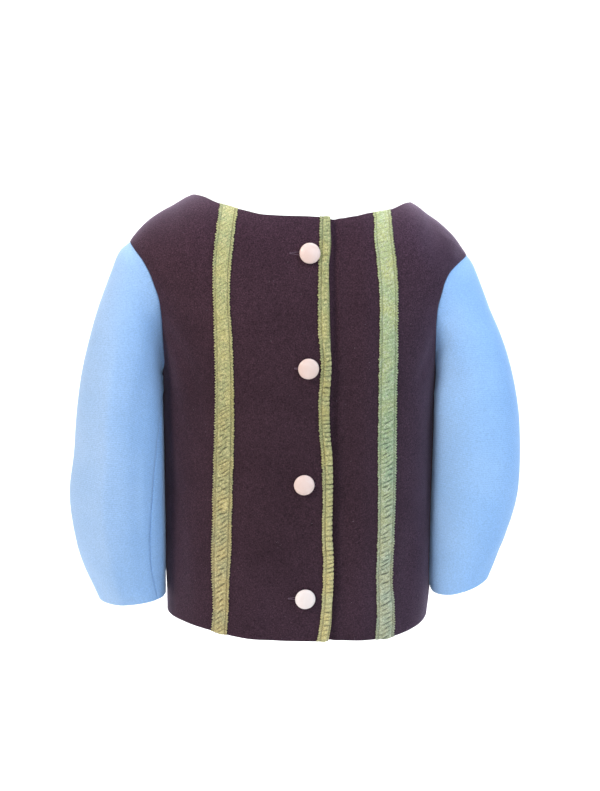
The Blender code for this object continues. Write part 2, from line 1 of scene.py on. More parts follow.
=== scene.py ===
"""Looks for the wool jacket: cloth shells on the solids' forms, trims, materials and light.

Lengths are millimetres until a mesh is made, as in the part's source, whose tables are
repeated here. A side of -1 is the wearer's right and 1 the left. A facing of -1 is the
front and 1 the back.
"""

import math
from collections import namedtuple

import bpy
import numpy as np
from mathutils import Matrix, Vector, noise


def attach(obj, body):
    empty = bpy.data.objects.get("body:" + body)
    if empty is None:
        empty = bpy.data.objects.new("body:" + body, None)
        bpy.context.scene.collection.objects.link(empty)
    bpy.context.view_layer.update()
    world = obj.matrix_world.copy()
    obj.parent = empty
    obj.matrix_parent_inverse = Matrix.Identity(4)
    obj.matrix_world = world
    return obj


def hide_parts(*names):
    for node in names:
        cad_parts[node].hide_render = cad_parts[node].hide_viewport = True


MM = 0.001


def table(columns, *rows):
    """Rows of values whose columns are named."""
    named = namedtuple("Row", columns)
    return [named(*row) for row in rows]


WALL = 2.4
LAY_GAP = 0.3
RIBBON_THICK = 0.8
EDGE_RETURN = 10.0
LAP_DROP = 4.6

BODY = table(
    "height half_width front back sway",
    (-595, 185.5, 117, 110, 2.8),
    (-545, 187.3, 117, 110, 4.8),
    (-480, 188.5, 117, 109, 3.5),
    (-400, 188.3, 117, 108, 1.3),
    (-320, 188.5, 118, 107, 0.0),
    (-240, 189.0, 120, 107, -1.0),
    (-200, 193.0, 121, 108, -1.8),
    (-160, 203.0, 119, 108, -2.6),
    (-120, 221.0, 113, 105, -3.6),
    (-80, 245.0, 105, 100, -4.6),
    (-40, 266.0, 98, 95, -4.0),
    (0, 276.0, 94, 91, -2.5),
    (30, 280.0, 92, 90, -2.5),
)
SQUARENESS = 2.1

RIDGE = table(
    "across height",
    (0, 24), (60, 19), (110, 7.5), (137, 3.4), (147, -0.5), (157, -5.0), (172, -14.7), (195, -29),
    (207, -38.5), (220, -52.5), (230, -66.5), (240, -90),
)
ROUND_AT_NECK = 75.0
ROUND_AT_END = 118.0
NECK_POINT = 147.0
SHOULDER_END = 230.0
RIDGE_FALL = 0.8
SHOULDER_TILT = 0.022
TILT_STARTS = -240.0

NECKLINE = table(
    "across height",
    (0, -22), (40, -22.5), (60, -21.8), (80, -18), (100, -14), (122, -7.6), (130, -4.0),
    (137, -2.1), (147, -0.5),
)
BACK_NECKLINE = table(
    "across height",
    (0, -30), (60, -29.5), (80, -25), (100, -20.5), (112, -18), (122, -15), (132, -11), (140, -5.8),
    (147, -0.5),
)
LEFT_RISE = table(
    "across height",
    (0, 0), (30, 1.2), (60, 3.0), (85, 3.2), (105, 2.2), (133, 2.9), (150, 2.9), (167, 1.7),
    (182, 1.8), (200, 0.4), (215, 0),
)

ARMHOLE = table(
    "height right left",
    (-240, 189.0, 189.0), (-225, 186.3, 185.3), (-205, 186.5, 182.8), (-185, 187.2, 181.0),
    (-160, 188.0, 179.3), (-138, 190.5, 180.0), (-117, 197.0, 184.8), (-101, 203.5, 189.5),
    (-86, 213.0, 200.0), (-76, 222.0, 213.5), (-66.5, 230.0, 230.0),
)

HEM = table(
    "angle height",
    (-180, -578), (-90, -577.5), (-45, -578.5), (-25, -584), (0, -585.5), (22, -589), (45, -590),
    (60, -586), (90, -580), (180, -578),
)

ROWS = table(
    "centre edge",
    (-585, -578), (-538, -528), (-481, -470), (-424, -412), (-366, -354), (-309, -297),
    (-254, -240), (-230, -231), (-206, -214), (-183, -190), (-160, -165), (-137, -140),
    (-115, -118), (-94, -101), (-73, -88), (-53, -78), (-36, -71), (-22, -66.5),
)
UNDERARM_ROW = 6
NECK_SHARE = 8 / 14

EDGE_LINE = table(
    "height across",
    (-585, 30.1), (-566, 32.0), (-538, 32.3), (-501, 33.0), (-475, 33.0), (-436, 30.9),
    (-397, 31.0), (-358, 31.5), (-325, 30.2), (-306, 27.9), (-280, 26.3), (-254, 26.2),
    (-228, 27.4), (-208, 28.1), (-189, 27.4), (-163, 26.4), (-111, 26.3), (-85, 26.2), (-59, 28.6),
    (-33, 27.6),
)
UNDER_EDGE = 30.0
LAP_FULL = 45.0
LAP_ENDS = 82.0
LAP_HOLLOW = 3.0
LAP_HOLLOW_PLACE = 35.5
LAP_HOLLOW_REACH = 4.5

RIBBON_LINE = table(
    "height across",
    (-595, 112), (-450, 110), (-250, 108.5), (-110, 107.5), (-50, 103), (-15, 98),
)

# How the ribbons wander from their lines, and how their width changes as they are gathered
RIGHT_SHAPE = table(
    "height shift width",
    (-20, 2.2, 22.4), (-60, 0.9, 22.5), (-98, 1.2, 21.6), (-124, 0.7, 20.5), (-176, -1.7, 21.5),
    (-228, -2.6, 22.8), (-280, -3.0, 23.4), (-332, -2.1, 24.5), (-384, -0.7, 25.0),
    (-436, 0.4, 24.3), (-488, 2.1, 24.0), (-514, 2.7, 21.9), (-553, 1.9, 19.6),
)
LEFT_SHAPE = table(
    "height shift width",
    (-20, 0.6, 23.8), (-46, -2.5, 24.4), (-72, -1.4, 24.3), (-98, -0.6, 24.5), (-163, -1.9, 24.8),
    (-202, -1.5, 25.8), (-254, -1.3, 25.4), (-306, -0.4, 25.5), (-384, 0.2, 25.0),
    (-410, -0.2, 24.1), (-449, -1.4, 23.7), (-514, -3.2, 23.2), (-540, -1.3, 25.6),
    (-566, 0.0, 26.4),
)
# How wide the edge ribbon shows on the overlapping front
EDGE_RIBBON = table(
    "height width",
    (-33, 11.4), (-59, 12.4), (-85, 10.8), (-111, 11.7), (-163, 12.4), (-189, 11.6), (-208, 10.8),
    (-254, 11.1), (-306, 10.6), (-325, 10.8), (-358, 10.1), (-397, 9.0), (-436, 9.7), (-475, 10.2),
    (-527, 11.4), (-566, 13.2),
)

# slit_end is how far a buttonhole's tip lies from its button's middle
BUTTONS = table(
    "height across slit_end",
    (-69, 4.0, 25.0),
    (-215, 1.0, 17.0),
    (-369, -3.0, 12.5),
    (-525, -2.0, 22.0),
)
SHANK_RADIUS = 2.0
SLIT_LENGTH = 28.0

SLEEVE_RIGHT = table(
    "outer outer_height inner inner_height front back",
    (248.5, -76, 191.6, -243.5, 58, 60),
    (258.6, -101, 191.4, -248, 62, 64),
    (269.6, -131, 191.0, -253, 65, 67),
    (279, -160, 190.4, -260, 67, 70),
    (289.4, -200, 189.6, -272, 69, 72),
    (298.8, -245, 188.8, -290, 71, 75),
    (305.5, -296, 187.8, -320, 73, 77),
    (309.5, -350, 186.8, -360, 74, 78),
    (316.3, -401, 185.8, -402, 73, 77),
    (313.5, -436, 185.2, -438, 71, 75),
    (307.0, -471, 184.8, -471, 66, 70),
    (296.8, -503, 184.6, -501, 60, 63),
    (285.6, -529, 184.6, -525, 54, 57),
    (276.3, -551.5, 184.4, -547.5, 49, 52),
)
SLEEVE_LEFT = table(
    "outer outer_height inner inner_height front back",
    (235, -86, 191.0, -243.5, 56, 58),
    (247.7, -116, 190.9, -248, 61, 63),
    (258.6, -144, 190.8, -253, 64, 66),
    (270.6, -171, 190.6, -260, 67, 70),
    (283.3, -204, 190.3, -272, 69, 73),
    (294, -243, 190.0, -290, 71, 76),
    (303, -290, 189.8, -320, 73, 78),
    (307.4, -345, 190.0, -360, 74, 78),
    (307.3, -392, 190.4, -402, 72, 76),
    (300.5, -431, 190.9, -439, 69, 73),
    (292.5, -461, 191.6, -471, 64, 68),
    (284.5, -484, 192.2, -499, 58, 62),
    (278.5, -502, 192.7, -523, 53, 56),
    (272.5, -520, 193.2, -545.5, 48, 51),
)
RING_SQUARENESS = 2.25
COLUMN_CROWDING = 8.0
CAP_BLEND_RINGS = 5
HANG_FORWARD = 20.0
FORWARD_FROM = 0.45
TWIST_RIGHT = 0.0
TWIST_LEFT = 20.0
LOOP_STEPS = 22
BACK_SEAM = 19

# Where the front seam lies round each sleeve, in loop steps from its innermost line, at shares
# of the sleeve's length
FRONT_SEAMS = table(
    "share right left",
    (0.00, 1.8, 1.6), (0.30, 1.1, 1.2), (0.42, 1.2, 1.0), (0.47, 1.7, 1.0), (0.52, 2.15, 1.0),
    (0.60, 2.65, 1.0), (0.755, 3.2, 1.0), (0.845, 3.28, 1.0), (1.00, 2.9, 1.0),
)


def smooth_curve(places, values):
    """A smooth function through the values at the places, level beyond both ends."""
    order = np.argsort(places)
    places = np.array(places, float)[order]
    values = np.array(values, float)[order]
    slopes = np.gradient(values, places)

    def at(place):
        place = np.clip(place, places[0], places[-1])
        i = np.clip(np.searchsorted(places, place, side="right") - 1, 0, len(places) - 2)
        span = places[i + 1] - places[i]
        f = (place - places[i]) / span
        start = (1 + 2 * f) * (1 - f) ** 2 * values[i] + f * (1 - f) ** 2 * span * slopes[i]
        end = f**2 * (3 - 2 * f) * values[i + 1] - f**2 * (1 - f) * span * slopes[i + 1]
        return start + end

    return at


def column_of(rows, key, value):
    """A smooth function from one column of a table to another."""
    return smooth_curve([getattr(row, key) for row in rows], [getattr(row, value) for row in rows])


def signed_power(value, power):
    """The size of a value to a power, with the value's own sign."""
    return np.copysign(np.abs(value) ** power, value)


def unit(vectors):
    """Vectors made one long."""
    return vectors / np.maximum(np.linalg.norm(vectors, axis=-1, keepdims=True), 1e-9)


def ease(share):
    """A soft step from 0 to 1."""
    share = np.clip(share, 0.0, 1.0)
    return share**2 * (3 - 2 * share)


body_half_width, body_front, body_back, body_sway = (
    column_of(BODY, "height", name) for name in ("half_width", "front", "back", "sway")
)
right_ridge = column_of(RIDGE, "across", "height")
left_rise = column_of(LEFT_RISE, "across", "height")
front_neck = column_of(NECKLINE, "across", "height")
back_neck = column_of(BACK_NECKLINE, "across", "height")
armhole_across = {
    -1: column_of(ARMHOLE, "height", "right"),
    1: column_of(ARMHOLE, "height", "left"),
}
hem_height = column_of(HEM, "angle", "height")
front_edge = column_of(EDGE_LINE, "height", "across")
edge_width = column_of(EDGE_RIBBON, "height", "width")
front_seam = {name: column_of(FRONT_SEAMS, "share", name) for name in ("right", "left")}
ribbon_across = column_of(RIBBON_LINE, "height", "across")


def rise(across, side):
    """How far this half stands above the right one's heights."""
    return left_rise(across) if side > 0 else 0.0


def ridge_height(across, side):
    """The height of the ridge over the shoulder on one side."""
    return right_ridge(np.abs(across)) + rise(across, side)


def neck_edge(across, side, facing):
    """The neckline's height on one quarter of the body."""
    neck = back_neck if facing > 0 else front_neck
    return neck(np.abs(across)) + rise(across, side)


def angle_at(across, height):
    """The angle round the body, in degrees from the centre line, that lies this far across."""
    share = np.minimum(np.abs(across) / body_half_width(height), 1.0)
    return np.copysign(np.degrees(np.arcsin(share ** (SQUARENESS / 2))), across)


def body_point(angle, height, side, facing):
    """Points on the body's outer face."""
    turn = np.radians(angle)
    across = body_half_width(height) * signed_power(np.sin(turn), 2 / SQUARENESS)
    depth = body_front(height) if facing < 0 else body_back(height)
    reach = np.clip((np.abs(across) - NECK_POINT) / (SHOULDER_END - NECK_POINT), 0.0, 1.0)
    rounding = ROUND_AT_NECK + (ROUND_AT_END - ROUND_AT_NECK) * reach
    drop = np.clip((ridge_height(across, side) - height) / rounding, 0.0, 1.0)
    depth = depth * np.abs(np.cos(turn)) ** (2 / SQUARENESS) * np.sqrt(1 - (1 - drop) ** 2)
    lift = ease((height - TILT_STARTS) / (NECKLINE[0].height - TILT_STARTS))
    tilted = height - SHOULDER_TILT * side * across * lift
    return np.stack([side * across + body_sway(height), facing * depth, tilted], axis=-1)


def half_panel(side, facing, first_across):
    """A function from places across (0 to 1) and up (0 to the last row) to points."""
    rows = np.arange(len(ROWS))
    centre_of = smooth_curve(rows, [row.centre for row in ROWS])
    edge_of = smooth_curve(rows, [row.edge for row in ROWS])
    lowest, highest = ROWS[0].centre, ROWS[-1].centre
    hem_start = angle_at(first_across(lowest), lowest)
    start = first_across(neck_edge(0.0, side, facing))

    def top(u):
        beyond = (u - NECK_SHARE) / (1 - NECK_SHARE)
        on_neck = start + (NECK_POINT - start) * u / NECK_SHARE
        on_shoulder = NECK_POINT + (SHOULDER_END - NECK_POINT) * beyond
        across = np.where(beyond < 0, on_neck, on_shoulder)
        neck = neck_edge(on_neck, side, facing)
        height = np.where(beyond < 0, neck, ridge_height(on_shoulder, side))
        return angle_at(across, height), height

    def at(u, t):
        u, t = np.broadcast_arrays(u, t)
        (first_angle, first_height), (last_angle, last_height) = top(0.0), top(1.0)
        edge = edge_of(t)
        up = (centre_of(t) - lowest) / (highest - lowest)
        centre = centre_of(t) + up * (first_height - highest)
        left = angle_at(first_across(centre), centre)
        on_armhole = angle_at(armhole_across[side](edge), edge)
        right = np.where(edge > ARMHOLE[0].height, on_armhole, 90.0)
        hem_angle = hem_start + (90.0 - hem_start) * u
        hem = hem_height(side * (hem_angle if facing < 0 else 180.0 - hem_angle))
        top_angle, top_height = top(u)
        angle = (
            (1 - u) * left
            + u * right
            + up * (top_angle - (1 - u) * first_angle - u * last_angle)
        )
        height = (
            (1 - u) * centre
            + u * edge
            + (1 - up) * (hem - (1 - u) * lowest - u * ROWS[0].edge)
            + up * (top_height - (1 - u) * first_height - u * last_height)
        )
        across = body_half_width(height) * signed_power(np.sin(np.radians(angle)), 2 / SQUARENESS)
        under_ridge = ridge_height(across, side) - RIDGE_FALL * (len(ROWS) - 1 - t)
        return body_point(angle, np.minimum(height, under_ridge), side, facing)

    return at


def sleeve_surface(side, rings, twist, front, back):
    """A function from places round (0 to LOOP_STEPS) and down (0 to the last ring) to points."""
    steps_up = len(ROWS) - 1 - UNDERARM_ROW

    def armhole(i):
        i = i % LOOP_STEPS
        up = np.where(i <= steps_up, i, 2 * steps_up - i)
        on_front, on_back = front(1.0, UNDERARM_ROW + up), back(1.0, UNDERARM_ROW + up)
        return np.where((i <= steps_up)[..., None], on_front, on_back)

    top = armhole(np.array(float(steps_up)))
    bottom = armhole(np.array(0.0))
    first = rings[0]._replace(
        outer=side * top[0], outer_height=top[2], inner=side * bottom[0], inner_height=bottom[2]
    )
    numbers = np.arange(len(rings) + 1)
    fields = {
        name: smooth_curve(numbers, [getattr(ring, name) for ring in (first, *rings)])
        for name in first._fields
    }
    hang = smooth_curve(
        numbers, HANG_FORWARD * np.minimum(numbers / len(rings) / FORWARD_FROM, 1.0)
    )

    def ring_point(i, k):
        turn = 2 * math.pi * i / LOOP_STEPS
        turn = turn - math.radians(COLUMN_CROWDING) * np.sin(2 * turn)
        turn = turn - math.radians(twist) * k / len(rings)
        forward = -hang(k)
        inner = np.stack([side * fields["inner"](k), forward, fields["inner_height"](k)], -1)
        outer = np.stack([side * fields["outer"](k), forward, fields["outer_height"](k)], -1)
        depth = np.where(np.sin(turn) > 0, fields["front"](k), fields["back"](k))
        reach = signed_power(np.cos(turn), 2 / RING_SQUARENESS)[..., None]
        across = signed_power(np.sin(turn), 2 / RING_SQUARENESS)
        ahead = np.stack([0 * across, -depth * across, 0 * across], -1)
        return (inner + outer) / 2 - (outer - inner) / 2 * reach + ahead

    def at(i, k):
        i, k = np.broadcast_arrays(i, k)
        share = np.maximum(1 - k / CAP_BLEND_RINGS, 0.0)[..., None]
        return ring_point(i, k) + (armhole(i) - ring_point(i, 0 * k)) * share**2

    return at


# Soft creases, in the cloth's own sizes. On the body, round is the angle from the centre line
# towards the piece's side and place the height. On a sleeve, round is the angle from the
# innermost line by the front and place the share of its length. A depth above zero is a ridge,
# and a crested one is a fold with a sharper top.
Crease = namedtuple(
    "Crease", "round place end_round end_place width depth bow crested", defaults=(False,)
)
CREASES = {
    "front_right": (
        (40, -60, 38, -330, 26, 1.3, 8),
        (66, -170, 47, -262, 13, -1.5, 6),
        (70, -210, 57, -330, 16, -1.2, -5),
        (68, -350, 63, -575, 20, -1.5, 9),
        (50, -420, 48, -600, 17, 1.1, -4),
        (8, -100, 14, -235, 22, -0.9, 7),
        (16, -300, 9, -450, 24, 0.9, -6),
        (22, -600, 18, -505, 15, 1.1, 3),
        (14, -600, 13, -520, 13, -1.0, -2),
        (90, -240, 90, -275, 12, 2.2, 0),
        (90, -130, 90, -560, 24, 2.3, 0, True),
    ),
    "front_left": (
        (60, -56, 55, -112, 13, -1.8, 4),
        (47, -40, 52, -74, 17, 1.3, -4),
        (69, -160, 52, -240, 12, -1.3, 5),
        (67, -270, 71, -430, 18, -1.4, -8),
        (60, -440, 62, -600, 18, 1.3, 6),
        (49, -430, 46, -600, 14, -1.1, -4),
        (20, -120, 24, -300, 20, 0.8, 7),
        (20, -600, 19, -510, 13, -0.8, 3),
        (90, -228, 90, -590, 24, 2.0, 0, True),
    ),
    "back_right": (
        (12, -70, 16, -290, 30, -1.5, 9),
        (64, -150, 30, -236, 17, -2.2, 10),
        (72, -235, 44, -330, 18, -1.7, -8),
        (38, -330, 41, -600, 26, 1.9, 10),
        (58, -380, 61, -600, 19, -1.7, -6),
        (20, -400, 22, -600, 24, -1.4, 7),
    ),
    "back_left": (
        (9, -330, 8, -600, 25, 1.4, -7),
        (66, -160, 34, -250, 15, -1.9, 8),
        (70, -260, 40, -372, 19, -1.8, -9),
        (31, -300, 36, -600, 24, -1.7, 9),
        (50, -350, 52, -600, 21, 1.8, -8),
        (66, -430, 69, -600, 17, -1.4, 4),
    ),
    "sleeve_right": (
        (10, 0.05, 10, 0.35, 18, 2.5, 0),
        (66, 0.26, 60, 1.00, 20, -3.6, 0),
        (70, 0.36, 68, 0.86, 17, -1.0, -6),
        (132, 0.84, 124, 1.00, 13, -1.9, 3),
        (28, 0.50, 46, 0.62, 9, -1.2, 3),
        (62, 0.50, 60, 1.00, 8, 1.3, 0),
        (24, 0.44, 34, 1.00, 9, 1.0, 0),
        (150, 0.12, 140, 0.42, 19, 1.3, 8),
        (118, 0.06, 112, 0.20, 12, -1.3, 3),
        (165, 0.62, 172, 0.80, 15, -1.5, -5),
        (205, 0.10, 215, 0.50, 19, -1.6, 9),
        (238, 0.42, 245, 0.95, 20, 1.9, 8),
        (268, 0.30, 282, 0.86, 15, -2.0, -8),
        (330, 0.46, 290, 0.60, 11, -1.7, 6),
        (334, 0.56, 296, 0.73, 10, -1.4, -5),
        (60, 0.975, 84, 0.945, 4, 0.9, 1),
        (60, 0.935, 82, 0.92, 5, -0.9, 1),
        (101, 0.26, 98, 1.06, 24, 7.0, 4, True),
    ),
    "sleeve_left": (
        (34, 0.10, 54, 1.10, 34, 9.0, 0),
        (46, 0.00, 52, 0.50, 20, 5.0, 0),
        (118, 0.06, 112, 0.20, 14, -1.8, 3),
        (84, 0.18, 76, 0.55, 20, 1.2, 7),
        (60, 0.40, 54, 0.92, 15, -1.4, 6),
        (158, 0.72, 150, 0.86, 12, -2.0, 4),
        (134, 0.88, 126, 1.00, 12, -1.7, -3),
        (100, 0.60, 104, 1.00, 20, 1.4, -6),
        (200, 0.12, 210, 0.46, 20, -1.6, -8),
        (236, 0.50, 240, 1.00, 19, 1.7, 8),
        (266, 0.26, 276, 0.80, 16, -1.9, 7),
        (330, 0.48, 290, 0.63, 11, -1.6, 6),
        (332, 0.60, 296, 0.76, 9, -1.3, -4),
    ),
}
CREST_ROUNDING = 2.5
CREST_FALL = 1.6
CREASE_FADE = 4
CREASE_END = 0.25
CREASE_POINTS = 9
BOW_ASIDE = (0.3, 1.0, 0.2)
WAVE_HEIGHT = 0.7
WAVE_LENGTH = 95.0
SEAM_CALM = 8.0


def crease_lines(piece, at):
    """Each crease of a piece: points along it, its width, its depth and whether it is crested."""
    lines = []
    share = np.linspace(0, 1, CREASE_POINTS)
    for crease in (Crease(*row) for row in CREASES[piece]):
        points = at(
            crease.round + (crease.end_round - crease.round) * share,
            crease.place + (crease.end_place - crease.place) * share,
        )
        way = unit(points[-1] - points[0])
        aside = unit(np.cross(way, BOW_ASIDE))
        points = points + aside * (crease.bow * np.sin(math.pi * share))[:, None]
        lines.append((points, crease.width, crease.depth, crease.crested))
    return lines


def body_creases():
    """The creases of both fronts and of the back's two halves."""
    lines = []
    for name, side in (("right", -1), ("left", 1)):
        for panel, facing in (("front", -1), ("back", 1)):
            lines += crease_lines(
                f"{panel}_{name}", lambda angle, height: body_point(angle, height, side, facing)
            )
    return lines


def distance_along(points, line):
    """The distance of points from a line of points, and the nearest place along it (0 to 1)."""
    best = np.full(len(points), np.inf)
    along = np.zeros(len(points))
    for k in range(len(line) - 1):
        step = line[k + 1] - line[k]
        f = np.clip(((points - line[k]) @ step) / (step @ step), 0, 1)
        gap = np.linalg.norm(points - line[k] - f[:, None] * step, axis=1)
        nearer = gap < best
        best = np.where(nearer, gap, best)
        along = np.where(nearer, (k + f) / (len(line) - 1), along)
    return best, along


def relief(points, lines):
    """How far the cloth stands out at each point: creases and a slow unevenness.

    It dies out towards the armholes, where body and sleeve meet.
    """
    flat = points.reshape(-1, 3)
    out = np.array([WAVE_HEIGHT * noise.noise(Vector(point) / WAVE_LENGTH) for point in flat])
    for line, width, depth, crested in lines:
        gap, along = distance_along(flat, line)
        fade = np.clip(np.minimum(along, 1 - along) * CREASE_FADE + CREASE_END, 0, 1)
        crest = (np.hypot(gap, CREST_ROUNDING) - CREST_ROUNDING) / width
        out += depth * fade * np.exp(-CREST_FALL * crest if crested else -((gap / width) ** 2))
    for loop in armhole_loops:
        out *= ease(distance_along(flat, loop)[0] / SEAM_CALM)
    return out.reshape(points.shape[:-1])


def grid_normals(grid, middle):
    """Unit normals of a grid of points, turned away from the middle."""
    normals = unit(np.cross(np.gradient(grid, axis=1), np.gradient(grid, axis=0)))
    return normals if (normals * (grid - middle)).sum() > 0 else -normals


def make_object(name, points, faces, smooth=True):
    """An object from points in millimetres."""
    mesh = bpy.data.meshes.new(name)
    mesh.from_pydata((np.asarray(points) * MM).tolist(), [], faces)
    mesh.update()
    if smooth:
        mesh.shade_smooth()
    made = bpy.data.objects.new(name, mesh)
    bpy.context.scene.collection.objects.link(made)
    return made


EDGE_TURNS = (40, 90, 140)
EDGE_PULL = 0.8
SEAM_PULL = 0.2
PULL_SHARE = 0.45


def shell(name, grid, normals, thick, painted_shades=None, sewn=None):
    """A closed sheet with rounded edges whose outer face is the grid.

    Its map gives each point's place along the cloth's two threads, in metres. A painted shade for
    each point, if given, is kept as an attribute of the points. sewn marks the points whose edges
    meet another sheet's.
    """
    rows, columns = grid.shape[:2]
    inward = np.zeros_like(grid)
    pull = np.full((rows, columns, 1), EDGE_PULL)
    if sewn is not None:
        pull[sewn] = SEAM_PULL
    for edge, near in (
        ((slice(None), 0), (slice(None), 1)),
        ((slice(None), -1), (slice(None), -2)),
        ((0, slice(None)), (1, slice(None))),
        ((-1, slice(None)), (-2, slice(None))),
    ):
        step = grid[near] - grid[edge]
        size = np.linalg.norm(step, axis=-1, keepdims=True)
        inward[edge] += unit(step) * np.minimum(pull[edge], PULL_SHARE * size)
    outer = (grid + inward).reshape(-1, 3)
    inward, normals = inward.reshape(-1, 3), normals.reshape(-1, 3)
    index = np.arange(rows * columns).reshape(rows, columns)
    rim = [*index[0, :-1], *index[:-1, -1], *index[-1, :0:-1], *index[:0:-1, 0]]
    points = [outer, outer - normals * thick]
    rings = [np.array(rim)]
    for number, turn in enumerate(EDGE_TURNS):
        angle = math.radians(turn)
        out, down = math.sin(angle), thick / 2 * (1 - math.cos(angle))
        points.append(outer[rim] - inward[rim] * out - normals[rim] * down)
        rings.append(np.arange(len(rim)) + 2 * rows * columns + number * len(rim))
    rings.append(np.array(rim) + rows * columns)
    a, b = index[:-1, :-1].ravel(), index[:-1, 1:].ravel()
    c, d = index[1:, 1:].ravel(), index[1:, :-1].ravel()
    faces = np.stack([a, b, c, d], 1).tolist()
    faces += (np.stack([d, c, b, a], 1) + rows * columns).tolist()
    for ring, following in zip(rings, rings[1:]):
        faces += np.stack([np.roll(ring, -1), ring, following, np.roll(following, -1)], 1).tolist()
    corner = np.cross(grid[0, 1] - grid[0, 0], grid[1, 0] - grid[0, 0])
    if corner @ normals[0] < 0:
        faces = [face[::-1] for face in faces]
    made = make_object(name, np.concatenate(points), faces)
    across, along = cloth_places(grid)
    places = np.stack([across, along], -1).reshape(-1, 2)
    places = np.concatenate([places, places, *[places[rim]] * len(EDGE_TURNS)])
    layer = made.data.uv_layers.new(name="cloth")
    corners = np.empty(len(made.data.loops), int)
    made.data.loops.foreach_get("vertex_index", corners)
    layer.data.foreach_set("uv", (places[corners] * MM).ravel())
    # Painted shade for a ribbon's hollows, kept for its material
    if painted_shades is not None:
        painted_shades = painted_shades.ravel()
        painted_shades = np.concatenate([painted_shades, painted_shades, *[painted_shades[rim]] * len(EDGE_TURNS)])
        kept = made.data.attributes.new("hollow", "FLOAT", "POINT")
        kept.data.foreach_set("value", painted_shades)
    return made


def cloth_places(grid):
    """Distances across and along the cloth at each point of a grid."""
    across = np.linalg.norm(np.diff(grid, axis=1), axis=2).cumsum(1)
    along = np.linalg.norm(np.diff(grid, axis=0), axis=2).cumsum(0)
    rows, columns = grid.shape[:2]
    return (
        np.concatenate([np.zeros((rows, 1)), across], 1),
        np.concatenate([np.zeros((1, columns)), along], 0),
    )


TUBE_ASIDE = (0.31, 0.17, 0.94)
TUBE_END = 0.5


def tubes(name, paths, radius, sides):
    """Closed threads of one radius along paths of points, joined into one object."""
    points, faces = [], []
    turns = np.linspace(0, 2 * math.pi, sides, endpoint=False)[None, :, None]
    for path in paths:
        path = np.asarray(path, float)
        way = unit(np.gradient(path, axis=0))
        aside = unit(np.cross(way, TUBE_ASIDE))[:, None]
        over = np.cross(way[:, None], aside)
        size = np.ones((len(path), 1, 1))
        size[0] = size[-1] = TUBE_END
        base = len(points) * sides
        rings = path[:, None] + (aside * np.cos(turns) + over * np.sin(turns)) * radius * size
        points.extend(rings)
        for j in range(len(path) - 1):
            low = base + j * sides
            for k in range(sides):
                n = (k + 1) % sides
                faces.append((low + k, low + n, low + sides + n, low + sides + k))
        last = base + (len(path) - 1) * sides
        faces.append(tuple(range(base + sides - 1, base - 1, -1)))
        faces.append(tuple(range(last, last + sides)))
    return make_object(name, np.concatenate(points), faces)


PANEL_COLUMNS = 84
ROWS_LOW = 132
ROWS_HIGH = 30
HIGH_ROWS = 2
LOOP_POINTS = 88


def panel_rows():
    """Places up a panel, evenly spaced and then crowding towards the neck and shoulder."""
    last = len(ROWS) - 1
    centres = [row.centre for row in ROWS]
    even = np.linspace(centres[0], centres[last - HIGH_ROWS], ROWS_LOW)
    low = np.interp(even, centres, range(len(ROWS)))
    high = last - HIGH_ROWS * np.linspace(1, 0, ROWS_HIGH + 1)[1:] ** 2
    return np.concatenate([low, high])


def lap_inset(across):
    """How far the under front lies inside the body's face, and its hollow beside the lap."""
    hollow = LAP_HOLLOW * np.exp(-(((across - LAP_HOLLOW_PLACE) / LAP_HOLLOW_REACH) ** 2))
    return LAP_DROP * ease((LAP_ENDS - across) / (LAP_ENDS - LAP_FULL)) + hollow


def cloth_grid(points, inset=0.0):
    """A body grid's points and normals, with its creases raised in it and pushed in by inset."""
    middle = points.mean(axis=(0, 1)) * (1, 0, 1)
    normals = grid_normals(points, middle)
    raised = points + normals * (relief(points, creases) - inset)[..., None]
    return raised, grid_normals(raised, middle)


def on_shoulder(u, t):
    """Which points of half a panel lie on its shoulder seam."""
    return (t == len(ROWS) - 1) & (u > NECK_SHARE)


def make_front(name, side):
    """One front, which lies under the other where it is the left one."""
    u, t = np.meshgrid(np.linspace(0, 1, PANEL_COLUMNS), panel_rows())
    points = surfaces[name](u, t)
    inset = lap_inset(points[..., 0] - body_sway(points[..., 2])) if side > 0 else 0.0
    grid, normals = cloth_grid(points, inset)
    return shell(f"cloth_{name}", grid, normals, WALL, sewn=on_shoulder(u, t))


def make_back():
    """The back, from its two halves joined at the centre line."""
    u, t = np.meshgrid(np.linspace(0, 1, PANEL_COLUMNS), panel_rows())
    left, right = surfaces["back_left"](u, t), surfaces["back_right"](u, t)
    points = np.concatenate([left[:, ::-1], right[:, 1:]], axis=1)
    grid, normals = cloth_grid(points)
    sewn = on_shoulder(u, t)
    sewn = np.concatenate([sewn[:, ::-1], sewn[:, 1:]], axis=1)
    return shell("cloth_back", grid, normals, WALL, sewn=sewn)


SLEEVE_ROWS = 130
SLEEVE_CROWDING = 1.25
UPPER_COLUMNS = 88
UNDER_COLUMNS = 32
SEAM_WIDTH = 3.0
FRONT_SEAM_DEPTH = {"right": 1.7, "left": 0.8}
BACK_SEAM_DEPTH = 1.0


def sleeve_grid(at, rings, lines, first, last, columns):
    """A sleeve piece's outer grid and normals between two seams, given for each row."""
    share = np.linspace(0, 1, SLEEVE_ROWS)[:, None] ** SLEEVE_CROWDING
    rows = share * rings
    points = at(first(share) + (last(share) - first(share)) * np.linspace(0, 1, columns), rows)
    middle = at(np.linspace(0, LOOP_STEPS, LOOP_POINTS)[None, :], rows)
    middle = middle.mean(axis=1, keepdims=True)
    raised = points + grid_normals(points, middle) * relief(points, lines)[..., None]
    return raised, grid_normals(raised, middle)


